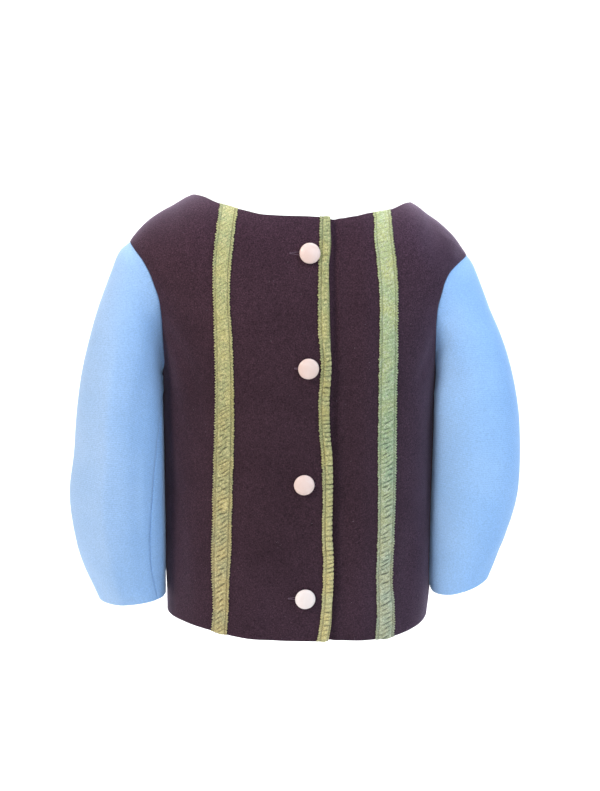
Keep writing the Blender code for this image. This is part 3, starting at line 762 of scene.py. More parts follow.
def make_sleeves():
    """The two pieces of each sleeve, which meet at its front and back seams."""
    made = {}
    share = np.linspace(0, 1, 4 * CREASE_POINTS)
    for name, at, rings in (
        ("right", right_sleeve, len(SLEEVE_RIGHT)),
        ("left", left_sleeve, len(SLEEVE_LEFT)),
    ):
        front = front_seam[name]
        seams = (front, lambda down: 0 * down + BACK_SEAM, lambda down: front(down) + LOOP_STEPS)
        lines = crease_lines(
            f"sleeve_{name}", lambda angle, down: at(angle / 360 * LOOP_STEPS, down * rings)
        )
        for seam, depth in zip(seams, (FRONT_SEAM_DEPTH[name], BACK_SEAM_DEPTH)):
            lines.append((at(seam(share), share * rings), SEAM_WIDTH, -depth, False))
        for k, part, columns in ((0, "upper", UPPER_COLUMNS), (1, "under", UNDER_COLUMNS)):
            grid, normals = sleeve_grid(at, rings, lines, seams[k], seams[k + 1], columns)
            piece = f"sleeve_{part}_{name}"
            made[piece] = shell(f"cloth_{piece}", grid, normals, WALL)
    return made


# Ruched ribbon: its gathers, its sewn lines and its looped edges
PITCH_NOISE = 33.0
PITCH_SEED = 0.5
RUCHE_PITCH = 6.4
RUCHE_CHANGE = 2.4
RUCHE_HEIGHT = 1.9
FINE_HEIGHT = 0.55
RIBBON_CROWN = 0.35
CROWN_FLATNESS = 3
CROWN_ROUNDING = 0.7
# Painted shade: how much calmer gathers soften the darkening of the ribbon's hollows
SHADE_CALM = 0.45
VALLEY_SHARE = 0.2
WARP = 2.6
SUNK = 0.68
SUNK_CHANGE = 1.1
ROW_STEP = 0.75
RIBBON_COLUMNS = 33
STITCH_MARGIN = 3.9
STITCH_DIP = 0.25
STITCH_PITCH = 2.6
STITCH_LONG = 1.8
STITCH_LIFT = 0.12
STITCH_SHAPE = table("along dip", (0.0, -1.8), (0.2, 0.3), (0.5, 0.8), (0.8, 0.3), (1.0, -1.8))
GROOVE_WIDTH = 0.6
# Painted shade along the sewn grooves
GROOVE_SHADE = 0.35
THREAD_RADIUS = 0.18
LOOP_PITCH = 3.6
LOOP_SHIFT = LOOP_PITCH / 3
LOOP_DEPTH = 0.9
LOOP_HEIGHT = 0.6
LOOP_CROWN = 0.4
# Painted shade between the edge loops
LOOP_SHADE = 0.40
LOOP_TURN = 5
RAGGED = 1.2
RAGGED_PITCH = 3.4
RAGGED_SEED = 3.5
# The noises that make gathers uneven, by how long each is down and across the ribbon
Uneven = namedtuple("Uneven", "down across seed")
WARPED = Uneven(12, 12, 0.0)
SUNKEN = Uneven(5, 15, 9.0)
FINE = Uneven(2.2, 6, 20.0)
Ruching = namedtuple("Ruching", "seed slant calm_from calm_to calm_height")
RUCHED_RIGHT = Ruching(3, -0.75, 240, 400, 0.34)
RUCHED_LEFT = Ruching(8, 0.40, 200, 420, 0.25)
RUCHED_EDGE = Ruching(5, 0.10, 330, 430, 0.42)


def uneven(kind, down, across, seed):
    """One of the noises at a place on a ribbon."""
    return noise.noise(Vector((down / kind.down, across / kind.across, seed + kind.seed)))


def ruched_lift(across, along, reach, ruching):
    """How far a ruched ribbon stands off the cloth between its sewn lines, and the painted shade of
    its hollows.
    """
    rows, columns = across.shape
    lift, fold = np.zeros_like(across), np.zeros_like(across)
    length = along[:, columns // 2]
    pitch = [
        noise.noise(Vector((place / PITCH_NOISE, ruching.seed, PITCH_SEED))) for place in length
    ]
    phase = (np.gradient(length) / (RUCHE_PITCH + RUCHE_CHANGE * np.array(pitch))).cumsum()
    calm = 1 - (1 - ruching.calm_height) * ease(
        (along - ruching.calm_from) / (ruching.calm_to - ruching.calm_from)
    )
    for j in range(rows):
        for i in range(columns):
            a, s = across[j, i], along[j, i]
            warp = WARP * uneven(WARPED, s, a, ruching.seed)
            place = np.interp(s - ruching.slant * a + warp, length, phase)
            sunk = SUNK + SUNK_CHANGE * uneven(SUNKEN, s, a, ruching.seed)
            valley = math.exp(-(((place % 1 - 0.5) / VALLEY_SHARE) ** 2))
            fold[j, i] = valley * min(max(sunk, 0.0), 1.0)
            fine = uneven(FINE, s + ruching.slant * a, a, ruching.seed)
            lift[j, i] = RUCHE_HEIGHT * (1 - fold[j, i]) + FINE_HEIGHT * abs(fine)
    inside = np.clip(1 - np.abs(across / reach) ** CROWN_FLATNESS, 0, 1) ** CROWN_ROUNDING
    # Painted shade: the ribbon's colour is darkened in the gathers' hollows
    hollow = 1 - fold * inside * calm**SHADE_CALM
    return inside * (RIBBON_CROWN + calm * lift), hollow


def looped(along, shift):
    """The looped edge of a ribbon, from -1 between loops to 1 at a loop's middle."""
    return 2 * np.abs(np.sin(math.pi * (along + shift) / LOOP_PITCH)) - 1


def stitch_paths(line, normals):
    """Short threads along a line of points, one for each stitch, dipping in at both ends."""
    steps = np.linalg.norm(np.diff(line, axis=0), axis=1)
    along = np.concatenate([[0], steps.cumsum()])
    shares, dips = np.array(STITCH_SHAPE).T
    dips = (STITCH_LIFT + THREAD_RADIUS * dips)[:, None]
    paths = []
    for start in np.arange(STITCH_PITCH / 2, along[-1] - STITCH_PITCH, STITCH_PITCH):
        places = start + STITCH_LONG * shares
        point = np.stack([np.interp(places, along, line[:, axis]) for axis in range(3)], 1)
        normal = np.stack([np.interp(places, along, normals[:, axis]) for axis in range(3)], 1)
        paths.append(point + normal * dips)
    return paths


def ribbon_form(across, along, left, right, ruching):
    """A ribbon's rise off the cloth, the painted shade of its hollows and how far its edges bulge
    out.

    left and right are its sewn lines' places across. An edge beyond a sewn line is looped
    where the grid reaches it.
    """
    middle, reach = (left + right) / 2, (right - left) / 2
    lift, hollow = ruched_lift(across - middle, along, reach, ruching)
    groove = sum(np.exp(-(((across - place) / GROOVE_WIDTH) ** 2)) for place in (left, right))
    beyond = np.clip(np.maximum(left - across, across - right) / STITCH_MARGIN, 0, 1)
    loops = looped(along, np.where(across < middle, 0.0, LOOP_SHIFT))
    pebbles = 0.5 + 0.5 * np.cos(2 * math.pi * along / LOOP_PITCH + LOOP_TURN * beyond)
    pebbles = pebbles * beyond**0.5
    band = beyond > 0
    lift = lift - STITCH_DIP * groove + band * LOOP_HEIGHT * (pebbles + LOOP_CROWN)
    # Painted shade: darker between the edge loops and along the sewn grooves
    hollow = np.where(band, LOOP_SHADE + (1 - LOOP_SHADE) * pebbles, hollow)
    hollow = hollow - GROOVE_SHADE * groove
    ragged = [
        noise.noise(Vector((place / RAGGED_PITCH, ruching.seed, RAGGED_SEED)))
        for place in along[:, 0]
    ]
    bulge = LOOP_DEPTH * loops + RAGGED * np.array(ragged)[:, None]
    return lift, np.clip(hollow, 0, 1), bulge * beyond**2


def sewn_ribbon(name, grid, normals, across, form, outward, sewn):
    """A ribbon laid on a grid, and the stitches along its sewn lines.

    outward is -1 or 1 where a looped edge bulges against or along the rows.
    """
    lift, hollow, bulge = form
    grid = grid + (outward * bulge)[..., None] * unit(np.gradient(grid, axis=1))
    outer = grid + normals * (LAY_GAP + RIBBON_THICK + lift)[..., None]
    faced = unit(np.cross(np.gradient(outer, axis=1), np.gradient(outer, axis=0)))
    faced = faced if (faced * normals).sum() > 0 else -faced
    paths = []
    for place in sewn:
        column = int(np.argmin(np.abs(across.mean(axis=0) - place)))
        paths += stitch_paths(outer[:, column], normals[:, column])
    # The ribbon's painted shade goes with its mesh
    return shell(name, outer, faced, RIBBON_THICK, hollow), paths


def make_ribbon(name, side, shape, ruching):
    """A ribbon sewn flat on one front, from the hem to the neck."""
    shift, width = (column_of(shape, "height", key) for key in ("shift", "width"))
    share = np.linspace(-1, 1, RIBBON_COLUMNS)[None, :]
    low, high = hem_height(0.0), neck_edge(RIBBON_LINE[-1].across, side, -1)
    rows = np.linspace(low, high, int((high - low) / ROW_STEP))[:, None]
    across = ribbon_across(rows) + shift(rows) + share * width(rows) / 2
    foot = hem_height(side * angle_at(across, low))
    height = foot + (neck_edge(across, side, -1) - foot) * (rows - low) / (high - low)
    points = body_point(angle_at(across, height), height, side, -1)
    grid, normals = cloth_grid(points, lap_inset(across) if side > 0 else 0.0)
    wide, along = cloth_places(grid)
    half = wide[:, -1:] / 2
    across = wide - half
    sewn = half.mean() - STITCH_MARGIN
    form = ribbon_form(across * half.mean() / half, along, -sewn, sewn, ruching)
    return sewn_ribbon(name, grid, normals, across, form, np.sign(share), (-sewn, sewn))


FOLD_TURNS = (20, 45, 70, 90, 110, 135, 160)
OUTSIDE_COLUMNS = 19
INSIDE_COLUMNS = 8
INSIDE_START = 0.6
GATHERS_PAST_RIM = 2.0


def make_edge_ribbon():
    """The ribbon folded round the overlapping front edge."""
    low, high = hem_height(0.0), neck_edge(0.0, -1, -1)
    height = np.linspace(low, high, int((high - low) / ROW_STEP))[:, None]
    width = edge_width(height)
    edge = front_edge(height)

    def cloth(back):
        across = back - edge
        full = height + 0 * across
        return cloth_grid(body_point(angle_at(across, full), full, -1, -1))

    outside, out_normals = cloth(width * np.linspace(1, 0, OUTSIDE_COLUMNS)[None, :])
    inward = np.linspace(INSIDE_START, EDGE_RETURN, INSIDE_COLUMNS)[None, :]
    inside, in_normals = cloth(inward)
    rim, rim_normal = outside[:, -1], out_normals[:, -1]
    away = unit(rim - outside[:, -2])
    away = unit(away - rim_normal * (away * rim_normal).sum(1, keepdims=True))
    turns = np.radians(FOLD_TURNS)[None, :, None]
    fold_normals = rim_normal[:, None] * np.cos(turns) + away[:, None] * np.sin(turns)
    fold = (rim - rim_normal * WALL / 2)[:, None] + fold_normals * WALL / 2
    grid = np.concatenate([outside, fold, inside - in_normals * WALL], axis=1)
    normals = np.concatenate([out_normals, fold_normals, -in_normals], axis=1)
    across, along = cloth_places(grid)
    along = np.broadcast_to(along[:, :1], across.shape)
    sewn = STITCH_MARGIN
    turned = across[:, OUTSIDE_COLUMNS - 1].mean() + GATHERS_PAST_RIM
    lift, hollow, bulge = ribbon_form(across, along, sewn, turned, RUCHED_EDGE)
    inner = np.arange(grid.shape[1]) >= OUTSIDE_COLUMNS + len(FOLD_TURNS) - 1
    form = (np.where(inner, 0.0, lift), hollow, np.where(inner, 0.0, bulge))
    return sewn_ribbon("trim_ribbon_edge", grid, normals, across, form, -1, (sewn,))


BUTTON_RIM = 13.4
BUTTON_EDGE_HEIGHT = 3.6
BUTTON_DOME = 4.6
DOME_RINGS = 22
BUTTON_UNDERSIDE = ((13.5, 3.1), (13.3, 2.5), (12.6, 2.1), (11.2, 1.9), (5.0, 1.7))
BUTTON_SIDES = 72
BUTTON_SHARP = 50


def seat_of(button):
    """A button's place on the overlapping front, with the cloth's directions there."""
    height, across = np.meshgrid(button.height + np.arange(-1.0, 2.0), np.arange(-1.0, 2.0))
    across = across - button.across
    grid, normals = cloth_grid(body_point(angle_at(across, height), height, -1, -1))
    normal = normals[1, 1]
    right = unit(np.cross(-normal, (0.0, 0.0, 1.0)))
    return grid[1, 1], normal, right, np.cross(right, -normal)


def lathe(place, normal, right, up, profile):
    """The points of a profile turned round a normal, with one point more at each end."""
    turns = np.linspace(0, 2 * math.pi, BUTTON_SIDES, endpoint=False)[:, None]
    ways = right * np.cos(turns) + up * np.sin(turns)
    rings = [place + ways * radius + normal * height for radius, height in profile]
    ends = [[place + normal * profile[k][1]] for k in (0, -1)]
    return np.concatenate([ends[0], *rings, ends[1]])


def make_button(number, seat):
    """A domed button with a flat underside and a shank that reaches the under front."""
    place, normal, right, up = seat
    turns = np.radians(np.linspace(0, 90, DOME_RINGS + 1))[1:]
    profile = [
        (BUTTON_RIM * math.sin(a), BUTTON_EDGE_HEIGHT + BUTTON_DOME * math.cos(a)) for a in turns
    ]
    profile += BUTTON_UNDERSIDE
    profile += [(SHANK_RADIUS, BUTTON_UNDERSIDE[-1][1]), (SHANK_RADIUS, LAY_GAP - LAP_DROP)]
    points = lathe(place, normal, right, up, profile)
    points[0] = place + normal * (BUTTON_EDGE_HEIGHT + BUTTON_DOME)
    faces = []
    last = 1 + (len(profile) - 1) * BUTTON_SIDES
    for k in range(BUTTON_SIDES):
        n = (k + 1) % BUTTON_SIDES
        faces.append((0, 1 + k, 1 + n))
        for ring in range(len(profile) - 1):
            low, high = 1 + ring * BUTTON_SIDES, 1 + (ring + 1) * BUTTON_SIDES
            faces.append((low + k, high + k, high + n, low + n))
        faces.append((last + k, len(points) - 1, last + n))
    made = make_object(f"pearl_button_{number}", points, faces)
    made.data.set_sharp_from_angle(angle=math.radians(BUTTON_SHARP))
    return made


HOLE_PITCH = 0.5
HOLE_TIP = 0.25
HOLE_LIP = 1.7
SHANK_ROOM = 1.5
SHANK_ROOM_REACH = 3
TIP_TURNS = range(110, 251, 20)
SLIT_STEP = 0.8
HOLE_THREAD = 0.26
HOLE_STITCH = table(
    "out height",
    (-0.3, -1.0), (-0.05, 0.15), (0.25, 0.36), (0.55, 0.30), (0.80, 0.05), (0.95, -0.35),
)


def slit_half(x, button):
    """Half a buttonhole's opening at x from its button's middle."""
    share = ease((x + button.slit_end) / SLIT_LENGTH * 2)
    room = SHANK_ROOM * np.exp(-((x / SHANK_ROOM_REACH) ** 2))
    return HOLE_TIP + (HOLE_LIP - HOLE_TIP) * share + room


def buttonhole_paths(seat, button):
    """The buttonhole's stitches, side by side along its lips and round its tip."""
    place, normal, right, up = seat
    starts = []
    for x in np.arange(-button.slit_end, SLIT_LENGTH - button.slit_end, HOLE_PITCH):
        half = slit_half(x, button)
        starts += [((x, half), (0.0, 1.0)), ((x, -half), (0.0, -1.0))]
    for turn in np.radians(TIP_TURNS):
        way = (math.cos(turn), math.sin(turn))
        starts.append(((-button.slit_end + HOLE_TIP * way[0], HOLE_TIP * way[1]), way))
    return [
        [
            place + right * (x + dx * stitch.out) + up * (y + dy * stitch.out)
            + normal * stitch.height
            for stitch in HOLE_STITCH
        ]
        for (x, y), (dx, dy) in starts
    ]


def cut_slits(front, seats):
    """Cuts the buttonholes through the overlapping front."""
    cutters = []
    for button, (place, normal, right, up) in zip(BUTTONS, seats):
        steps = np.arange(-button.slit_end, SLIT_LENGTH - button.slit_end, SLIT_STEP)
        upper = [(x, slit_half(x, button)) for x in steps]
        outline = upper + [(x, -half) for x, half in upper[::-1]]
        count = len(outline)
        points = [
            place + right * x + up * y + normal * height
            for height in (WALL, -2 * WALL + LAY_GAP)
            for x, y in outline
        ]
        faces = [tuple(range(count)), tuple(range(2 * count - 1, count - 1, -1))]
        faces += [(k, count + k, count + (k + 1) % count, (k + 1) % count) for k in range(count)]
        cutter = make_object("slit_cutter", points, faces, smooth=False)
        cutters.append(cutter)
        cut = front.modifiers.new("slit", "BOOLEAN")
        cut.operation = "DIFFERENCE"
        cut.solver = "EXACT"
        cut.object = cutter
    graph = bpy.context.evaluated_depsgraph_get()
    mesh = bpy.data.meshes.new_from_object(front.evaluated_get(graph), depsgraph=graph)
    front.modifiers.clear()
    front.data = mesh
    for cutter in cutters:
        bpy.data.objects.remove(cutter)


# Lint that lies on the cloth, and the stray thread beside the third button. On a fibre, across
# is from the centre line towards the wearer's left.
Fibre = namedtuple("Fibre", "across height length turn curl")
FIBRES = (
    Fibre(24.5, -369, 6.5, 12, 0.9),
    Fibre(62, -535, 2.4, 60, 0.4),
    Fibre(139, -158, 1.8, 80, 0.3),
    Fibre(-38, -448, 3.5, 25, 0.8),
    Fibre(-34, -452, 2.4, 70, 0.5),
)
EDGE_PLACE = 30.0
LINT_SEED = 21
LINT_COUNT = 60
LINT_RADIUS = 0.085
FIBRE_POINTS = 7
FIBRE_REACH = 0.5
LEAST_LINT = Fibre(6, -560, 0.8, 0, 0)
MOST_LINT = Fibre(165, -60, 2.6, 180, 0.8)
CLEAR_OF_EDGE = 12.0
RIBBON_PLACE = 108.0
CLEAR_OF_RIBBON = 20.0


def fibre_path(fibre, facing):
    """A curled fibre on the body's outer face."""
    side = 1 if fibre.across > 0 else -1
    steps = np.linspace(-0.5, 0.5, FIBRE_POINTS) * fibre.length
    turn = math.radians(fibre.turn)
    curl = fibre.curl * (1 - (2 * steps / fibre.length) ** 2)
    across = np.abs(fibre.across) + side * (steps * math.cos(turn) - curl * math.sin(turn))
    height = fibre.height + steps * math.sin(turn) + curl * math.cos(turn)
    rows = np.stack([height - FIBRE_REACH, height, height + FIBRE_REACH])
    wide = np.broadcast_to(across, rows.shape)
    inset = lap_inset(wide) if side > 0 and facing < 0 and fibre.across > EDGE_PLACE else 0.0
    grid, normals = cloth_grid(body_point(angle_at(wide, rows), rows, side, facing), inset)
    normals = normals * np.sign(normals[..., 1:2] * facing)
    return grid[1] + normals[1] * 2 * LINT_RADIUS


def lint_paths():
    """The fibres of the table on the front, and a scattering over the fronts and back."""
    chance = np.random.default_rng(LINT_SEED)
    paths = [fibre_path(fibre, -1) for fibre in FIBRES]
    for _ in range(LINT_COUNT):
        facing = chance.choice((-1, 1))
        side = chance.choice((-1, 1))
        fibre = Fibre(*map(chance.uniform, LEAST_LINT, MOST_LINT))
        fibre = fibre._replace(across=side * fibre.across)
        near_edge = facing < 0 and abs(fibre.across - EDGE_PLACE) < CLEAR_OF_EDGE
        on_ribbon = facing < 0 and abs(abs(fibre.across) - RIBBON_PLACE) < CLEAR_OF_RIBBON
        if not near_edge and not on_ribbon:
            paths.append(fibre_path(fibre, facing))
    return paths


def rgba(colour):
    """A grey or a colour, with its alpha."""
    return (*colour, 1.0) if isinstance(colour, tuple) else (colour, colour, colour, 1.0)


Surface = namedtuple(
    "Surface",
    "roughness specular sheen sheen_roughness sheen_tint coat coat_roughness",
    defaults=(0.5, 0.0, 0.5, 1.0, 0.0, 0.03),
)
SURFACE_SOCKETS = (
    "Roughness", "Specular IOR Level", "Sheen Weight", "Sheen Roughness", "Sheen Tint",
    "Coat Weight", "Coat Roughness",
)


class Paint:
    """A material whose base colour is built up in layers."""

    def __init__(self, name, surface):
        self.material = bpy.data.materials.new(name)
        self.material.use_nodes = True
        self.tree = self.material.node_tree
        self.shader = self.tree.nodes["Principled BSDF"]
        surface = surface._replace(sheen_tint=rgba(surface.sheen_tint))
        for socket, value in zip(SURFACE_SOCKETS, surface):
            self.shader.inputs[socket].default_value = value
        self.place = self.node("ShaderNodeTexCoord").outputs["Object"]
        self.colour = None

    def join(self, value, socket):
        """Links or sets an input."""
        if isinstance(value, bpy.types.NodeSocket):
            self.tree.links.new(value, socket)
        else:
            socket.default_value = value

    def node(self, kind, inputs=None, **settings):
        """A shader node with its settings, and each input set or linked."""
        made = self.tree.nodes.new(kind)
        for name, value in settings.items():
            setattr(made, name, value)
        for name, value in (inputs or {}).items():
            self.join(value, made.inputs[name])
        return made

    def cloth(self):
        """Places on the cloth itself, along its two threads."""
        return self.node("ShaderNodeUVMap", uv_map="cloth").outputs["UV"]

    def texture(self, kind, scale, place=None, **inputs):
        """A texture node, laid on the object's own places unless others are given."""
        place = self.place if place is None else place
        inputs = {"Vector": place, "Scale": scale, **inputs}
        return self.node(f"ShaderNodeTex{kind}", inputs)

    def noise(self, scale, detail=2.0, distortion=0.0):
        """A soft unevenness, from 0 to 1."""
        return self.texture("Noise", scale, Detail=detail, Distortion=distortion).outputs["Fac"]

    def along(self, axis, start, end):
        """How far a point lies from start to end along an axis, from 0 to 1."""
        value = self.node("ShaderNodeSeparateXYZ", {"Vector": self.place}).outputs[axis]
        inputs = {"Value": value, "From Min": start, "From Max": end}
        return self.node("ShaderNodeMapRange", inputs).outputs["Result"]

    def ramp(self, factor, *stops):
        """The factor as a colour. A stop is a place and a grey or a colour."""
        made = self.node("ShaderNodeValToRGB", {"Fac": factor})
        elements = made.color_ramp.elements
        while len(elements) < len(stops):
            elements.new(0.5)
        for element, (place, colour) in zip(elements, stops):
            element.position = place
            element.color = rgba(colour)
        return made.outputs["Color"]

    def mixed(self, kind, factor, first, second):
        """The second colour laid on the first by a factor."""
        made = self.node("ShaderNodeMix", data_type="RGBA", blend_type=kind)
        sockets = {socket.identifier: socket for socket in made.inputs}
        self.join(factor, sockets["Factor_Float"])
        self.join(first, sockets["A_Color"])
        self.join(second, sockets["B_Color"])
        return next(s for s in made.outputs if s.identifier == "Result_Color")

    def times(self, factor, *stops):
        """Multiplies the base colour by a ramp."""
        self.colour = self.mixed("MULTIPLY", 1.0, self.colour, self.ramp(factor, *stops))

    def fade(self, painted_lights):
        """Paints light: multiplies the base colour by tints that grow from 1 along an axis."""
        for row in painted_lights:
            self.times(self.along(row.axis, row.start, row.end), (0.0, 1.0), (1.0, row.tint))

    def finished(self, *bumps):
        """The material, with bumps laid on each other from (height, strength, distance)."""
        self.tree.links.new(self.colour, self.shader.inputs["Base Color"])
        normal = self.shader.inputs["Normal"]
        for height, strength, distance in bumps[::-1]:
            inputs = {"Height": height, "Strength": strength, "Distance": distance}
            bump = self.node("ShaderNodeBump", inputs)
            self.tree.links.new(bump.outputs["Normal"], normal)
            normal = bump.inputs["Normal"]
        return self.material


# Painted light: each wool's colour is tinted along an axis from start, where the tint is 1, to end,
# in metres.
# It stands in for light: brighter and bluer on the body's left side, shoulders and hem, warmer on
# the right sleeve's outside
BODY_PAINTED_LIGHT = table(
    "axis start end tint",
    ("X", 0.06, 0.16, (1.13, 1.24, 1.34)),
    ("Z", -0.26, -0.06, (1.22, 1.20, 1.24)),
    ("Z", -0.10, -0.02, (1.14, 1.16, 1.21)),
    ("Z", -0.42, -0.56, (1.05, 1.09, 1.15)),
)
SLEEVE_PAINTED_LIGHT = table("axis start end tint", ("X", -0.19, -0.26, (1.13, 1.01, 0.93)))


def body_wool():
    """Dark felted wool: mottled, with a short nap and tiny paler specks, and painted light on its
    shoulders, its left side and towards its hem.
    """
    wool = Paint("felted_brown_wool", Surface(0.95, 0.12, 0.56, 0.42, (0.50, 0.41, 0.56)))
    broad, grain, fibre = wool.noise(16.0, 3.0), wool.noise(620.0, 4.0), wool.noise(300.0, 5.0, 2.2)
    specks = wool.texture("Voronoi", 260.0).outputs
    wool.colour = wool.ramp(broad, (0.3, (0.0350, 0.0165, 0.0240)), (0.7, (0.0445, 0.0215, 0.0310)))
    # Painted light: brighter and bluer on the shoulders, on the wearer's left side and towards the
    # hem
    wool.fade(BODY_PAINTED_LIGHT)
    wool.times(grain, (0.3, 0.56), (0.7, 1.46))
    wool.times(fibre, (0.35, 0.72), (0.7, 1.32))
    pale = wool.ramp(specks["Distance"], (0.08, 1.0), (0.2, 0.0))
    chosen = wool.ramp(specks["Color"], (0.88, 0.0), (0.92, 1.0))
    speck = wool.mixed("MULTIPLY", 1.0, pale, chosen)
    wool.colour = wool.mixed("MIX", speck, wool.colour, rgba((0.105, 0.080, 0.110)))
    return wool.finished((fibre, 0.35, 0.0008), (grain, 0.4, 0.0004))


TWILL_SCALE = 165.0
TWILL_TURN = 48.0


def sleeve_wool():
    """Light blue brushed wool in a fine diagonal weave, with painted warm light on the outside of
    the right sleeve.
    """
    wool = Paint("brushed_blue_wool", Surface(0.9, 0.15, 0.35, 0.45, (0.75, 0.88, 1.0)))
    broad, grain = wool.noise(14.0, 3.0), wool.noise(520.0, 4.0)
    turn = {"Vector": wool.cloth(), "Rotation": (0, 0, math.radians(TWILL_TURN))}
    turned = wool.node("ShaderNodeMapping", turn).outputs["Vector"]
    wave = {"Distortion": 3.5, "Detail": 2.0, "Detail Scale": 2.0}
    twill = wool.texture("Wave", TWILL_SCALE, turned, **wave).outputs["Fac"]
    wool.colour = wool.ramp(broad, (0.3, (0.300, 0.520, 0.87)), (0.7, (0.335, 0.555, 0.90)))
    wool.times(grain, (0.3, 0.88), (0.7, 1.09))
    # Painted light: warmer on the outside of the wearer's right sleeve
    wool.fade(SLEEVE_PAINTED_LIGHT)
    wool.times(twill, (0.0, 0.95), (1.0, 1.03))
    return wool.finished((twill, 0.25, 0.0003), (grain, 0.4, 0.0005))


RIBBON_TOP = -0.01
RIBBON_FOOT = -0.59
GOLD = (0.66, 0.60, 0.30)
SILVER = (0.62, 0.64, 0.45)
# Each ribbon's green by its top, middle and foot, and its flecks
RibbonLook = namedtuple("RibbonLook", "high middle low fleck")
RIGHT_LOOK = RibbonLook((0.38, 0.40, 0.19), (0.36, 0.34, 0.15), (0.39, 0.34, 0.17), GOLD)
LEFT_LOOK = RibbonLook((0.44, 0.48, 0.23), (0.32, 0.40, 0.22), (0.37, 0.39, 0.26), SILVER)
EDGE_LOOK = RibbonLook((0.34, 0.35, 0.155), (0.36, 0.35, 0.15), (0.50, 0.455, 0.22), GOLD)


def ribbon_cloth(name, look):
    """Shot ribbon whose green changes down its length, with painted shade in its hollows and a
    little painted light on its tops, and with flecks.
    """
    ribbon = Paint(name, Surface(0.5, 0.35, 0.15, 0.4, (0.9, 0.95, 0.7)))
    hollow = ribbon.node("ShaderNodeAttribute", attribute_name="hollow").outputs["Fac"]
    broad, grain = ribbon.noise(45.0, 4.0), ribbon.noise(850.0, 3.0)
    cells = ribbon.texture("Voronoi", 620.0).outputs["Color"]
    ribs = ribbon.texture("Wave", 210.0, ribbon.cloth(), Distortion=1.2, Detail=2.0)
    ribs.bands_direction = "Y"
    down = ribbon.along("Z", RIBBON_TOP, RIBBON_FOOT)
    ribbon.colour = ribbon.ramp(down, (0.12, look.high), (0.5, look.middle), (0.85, look.low))
    ribbon.times(broad, (0.36, (0.90, 0.97, 1.0)), (0.64, (1.1, 1.04, 0.92)))
    ribbon.times(grain, (0.3, 0.46), (0.7, 1.50))
    chosen = ribbon.ramp(cells, (0.66, 0.0), (0.74, 0.6))
    ribbon.colour = ribbon.mixed("MIX", chosen, ribbon.colour, rgba(look.fleck))
    # Painted shade in the hollows, and a little painted light on the tops
    ribbon.times(hollow, (0.05, 0.34), (0.7, 0.96), (1.0, 1.12))
    return ribbon.finished((ribs.outputs["Fac"], 0.3, 0.0002), (grain, 0.6, 0.0005))


def pearl(name, first, second):
    """A pearly button's surface, clouded between two pale pinks."""
    button = Paint(name, Surface(0.38, 0.4, coat=0.25, coat_roughness=0.2))
    button.colour = button.ramp(button.noise(60.0, 3.0, 1.5), (0.3, first), (0.7, second))
    return button.finished((button.noise(300.0), 0.05, 0.0003))


def thread(name, colour):
    """Spun thread with small light and dark turns along it."""
    spun = Paint(name, Surface(0.8, 0.2))
    spun.colour = rgba(colour)
    spun.times(spun.noise(1500.0), (0.3, 0.7), (0.7, 1.15))
    return spun.finished()


def dress(piece, material):
    """Gives a piece its material and slot, on the part's one body."""
    piece.data.materials.clear()
    piece.data.materials.append(material)
    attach(piece, "root")


# Each piece's cloth as it was cut, in metres and square metres
SHEETS = table(
    "piece width length area held",
    ("front_right", 0.30, 0.62, 0.158, "hung"),
    ("front_left", 0.30, 0.62, 0.157, "hung"),
    ("back", 0.50, 0.62, 0.267, "hung"),
    ("sleeve_upper_right", 0.40, 0.52, 0.146, "hung"),
    ("sleeve_under_right", 0.12, 0.42, 0.030, "hung"),
    ("sleeve_upper_left", 0.40, 0.50, 0.144, "hung"),
    ("sleeve_under_left", 0.09, 0.42, 0.021, "hung"),
    ("ribbon_right", 0.026, 0.80, 0.0205, "gathered"),
    ("ribbon_left", 0.026, 0.80, 0.0205, "gathered"),
    ("ribbon_edge", 0.026, 0.80, 0.0205, "gathered"),
)

FLOOR_HEIGHT = -1.0
WALL_BEHIND = 2.4
STAGE_REACH = 4.0
STAGE_CURVE = 0.8
STAGE_STEPS = 16


def make_stage():
    """A pale floor that curves up into a pale wall."""
    turns = np.radians(np.linspace(0, 90, STAGE_STEPS))
    depths = [-STAGE_REACH, *(WALL_BEHIND - STAGE_CURVE * (1 - np.sin(turns))), WALL_BEHIND]
    heights = [FLOOR_HEIGHT, *(FLOOR_HEIGHT + STAGE_CURVE * (1 - np.cos(turns))), STAGE_REACH]
    points = [(x, y, z) for x in (-STAGE_REACH, STAGE_REACH) for y, z in zip(depths, heights)]
    count = len(depths)
    faces = [(k, k + 1, count + k + 1, count + k) for k in range(count - 1)]
    made = make_object("pale_stage", np.array(points) / MM, faces)
    paper = Paint("pale_paper", Surface(0.9))
    paper.colour = paper.ramp(paper.noise(2.0), (0.3, 0.93), (0.7, 0.95))
    made.data.materials.append(paper.finished())


CAMERA_PLACE = (-0.1394, -1.5939, 0.0)
CAMERA_AZIMUTH = -5.0
CAMERA_PITCH = 9.6
CAMERA_ROLL = 1.3
IMAGE_HEIGHT = 791
FOCAL_PIXELS = 1164.0
SENSOR = 36.0


def make_camera():
    """The photo's camera, found from the jacket's outline."""
    data = bpy.data.cameras.new("camera")
    data.sensor_fit = "VERTICAL"
    data.sensor_height = SENSOR
    data.lens = FOCAL_PIXELS / IMAGE_HEIGHT * SENSOR
    camera = bpy.data.objects.new("camera", data)
    turn = Matrix.Rotation(math.radians(CAMERA_AZIMUTH), 4, "Z")
    tilt = Matrix.Rotation(math.radians(90 - CAMERA_PITCH), 4, "X")
    roll = Matrix.Rotation(math.radians(CAMERA_ROLL), 4, "Z")
    camera.matrix_world = Matrix.Translation(CAMERA_PLACE) @ turn @ tilt @ roll
    bpy.context.scene.collection.objects.link(camera)
    bpy.context.scene.camera = camera


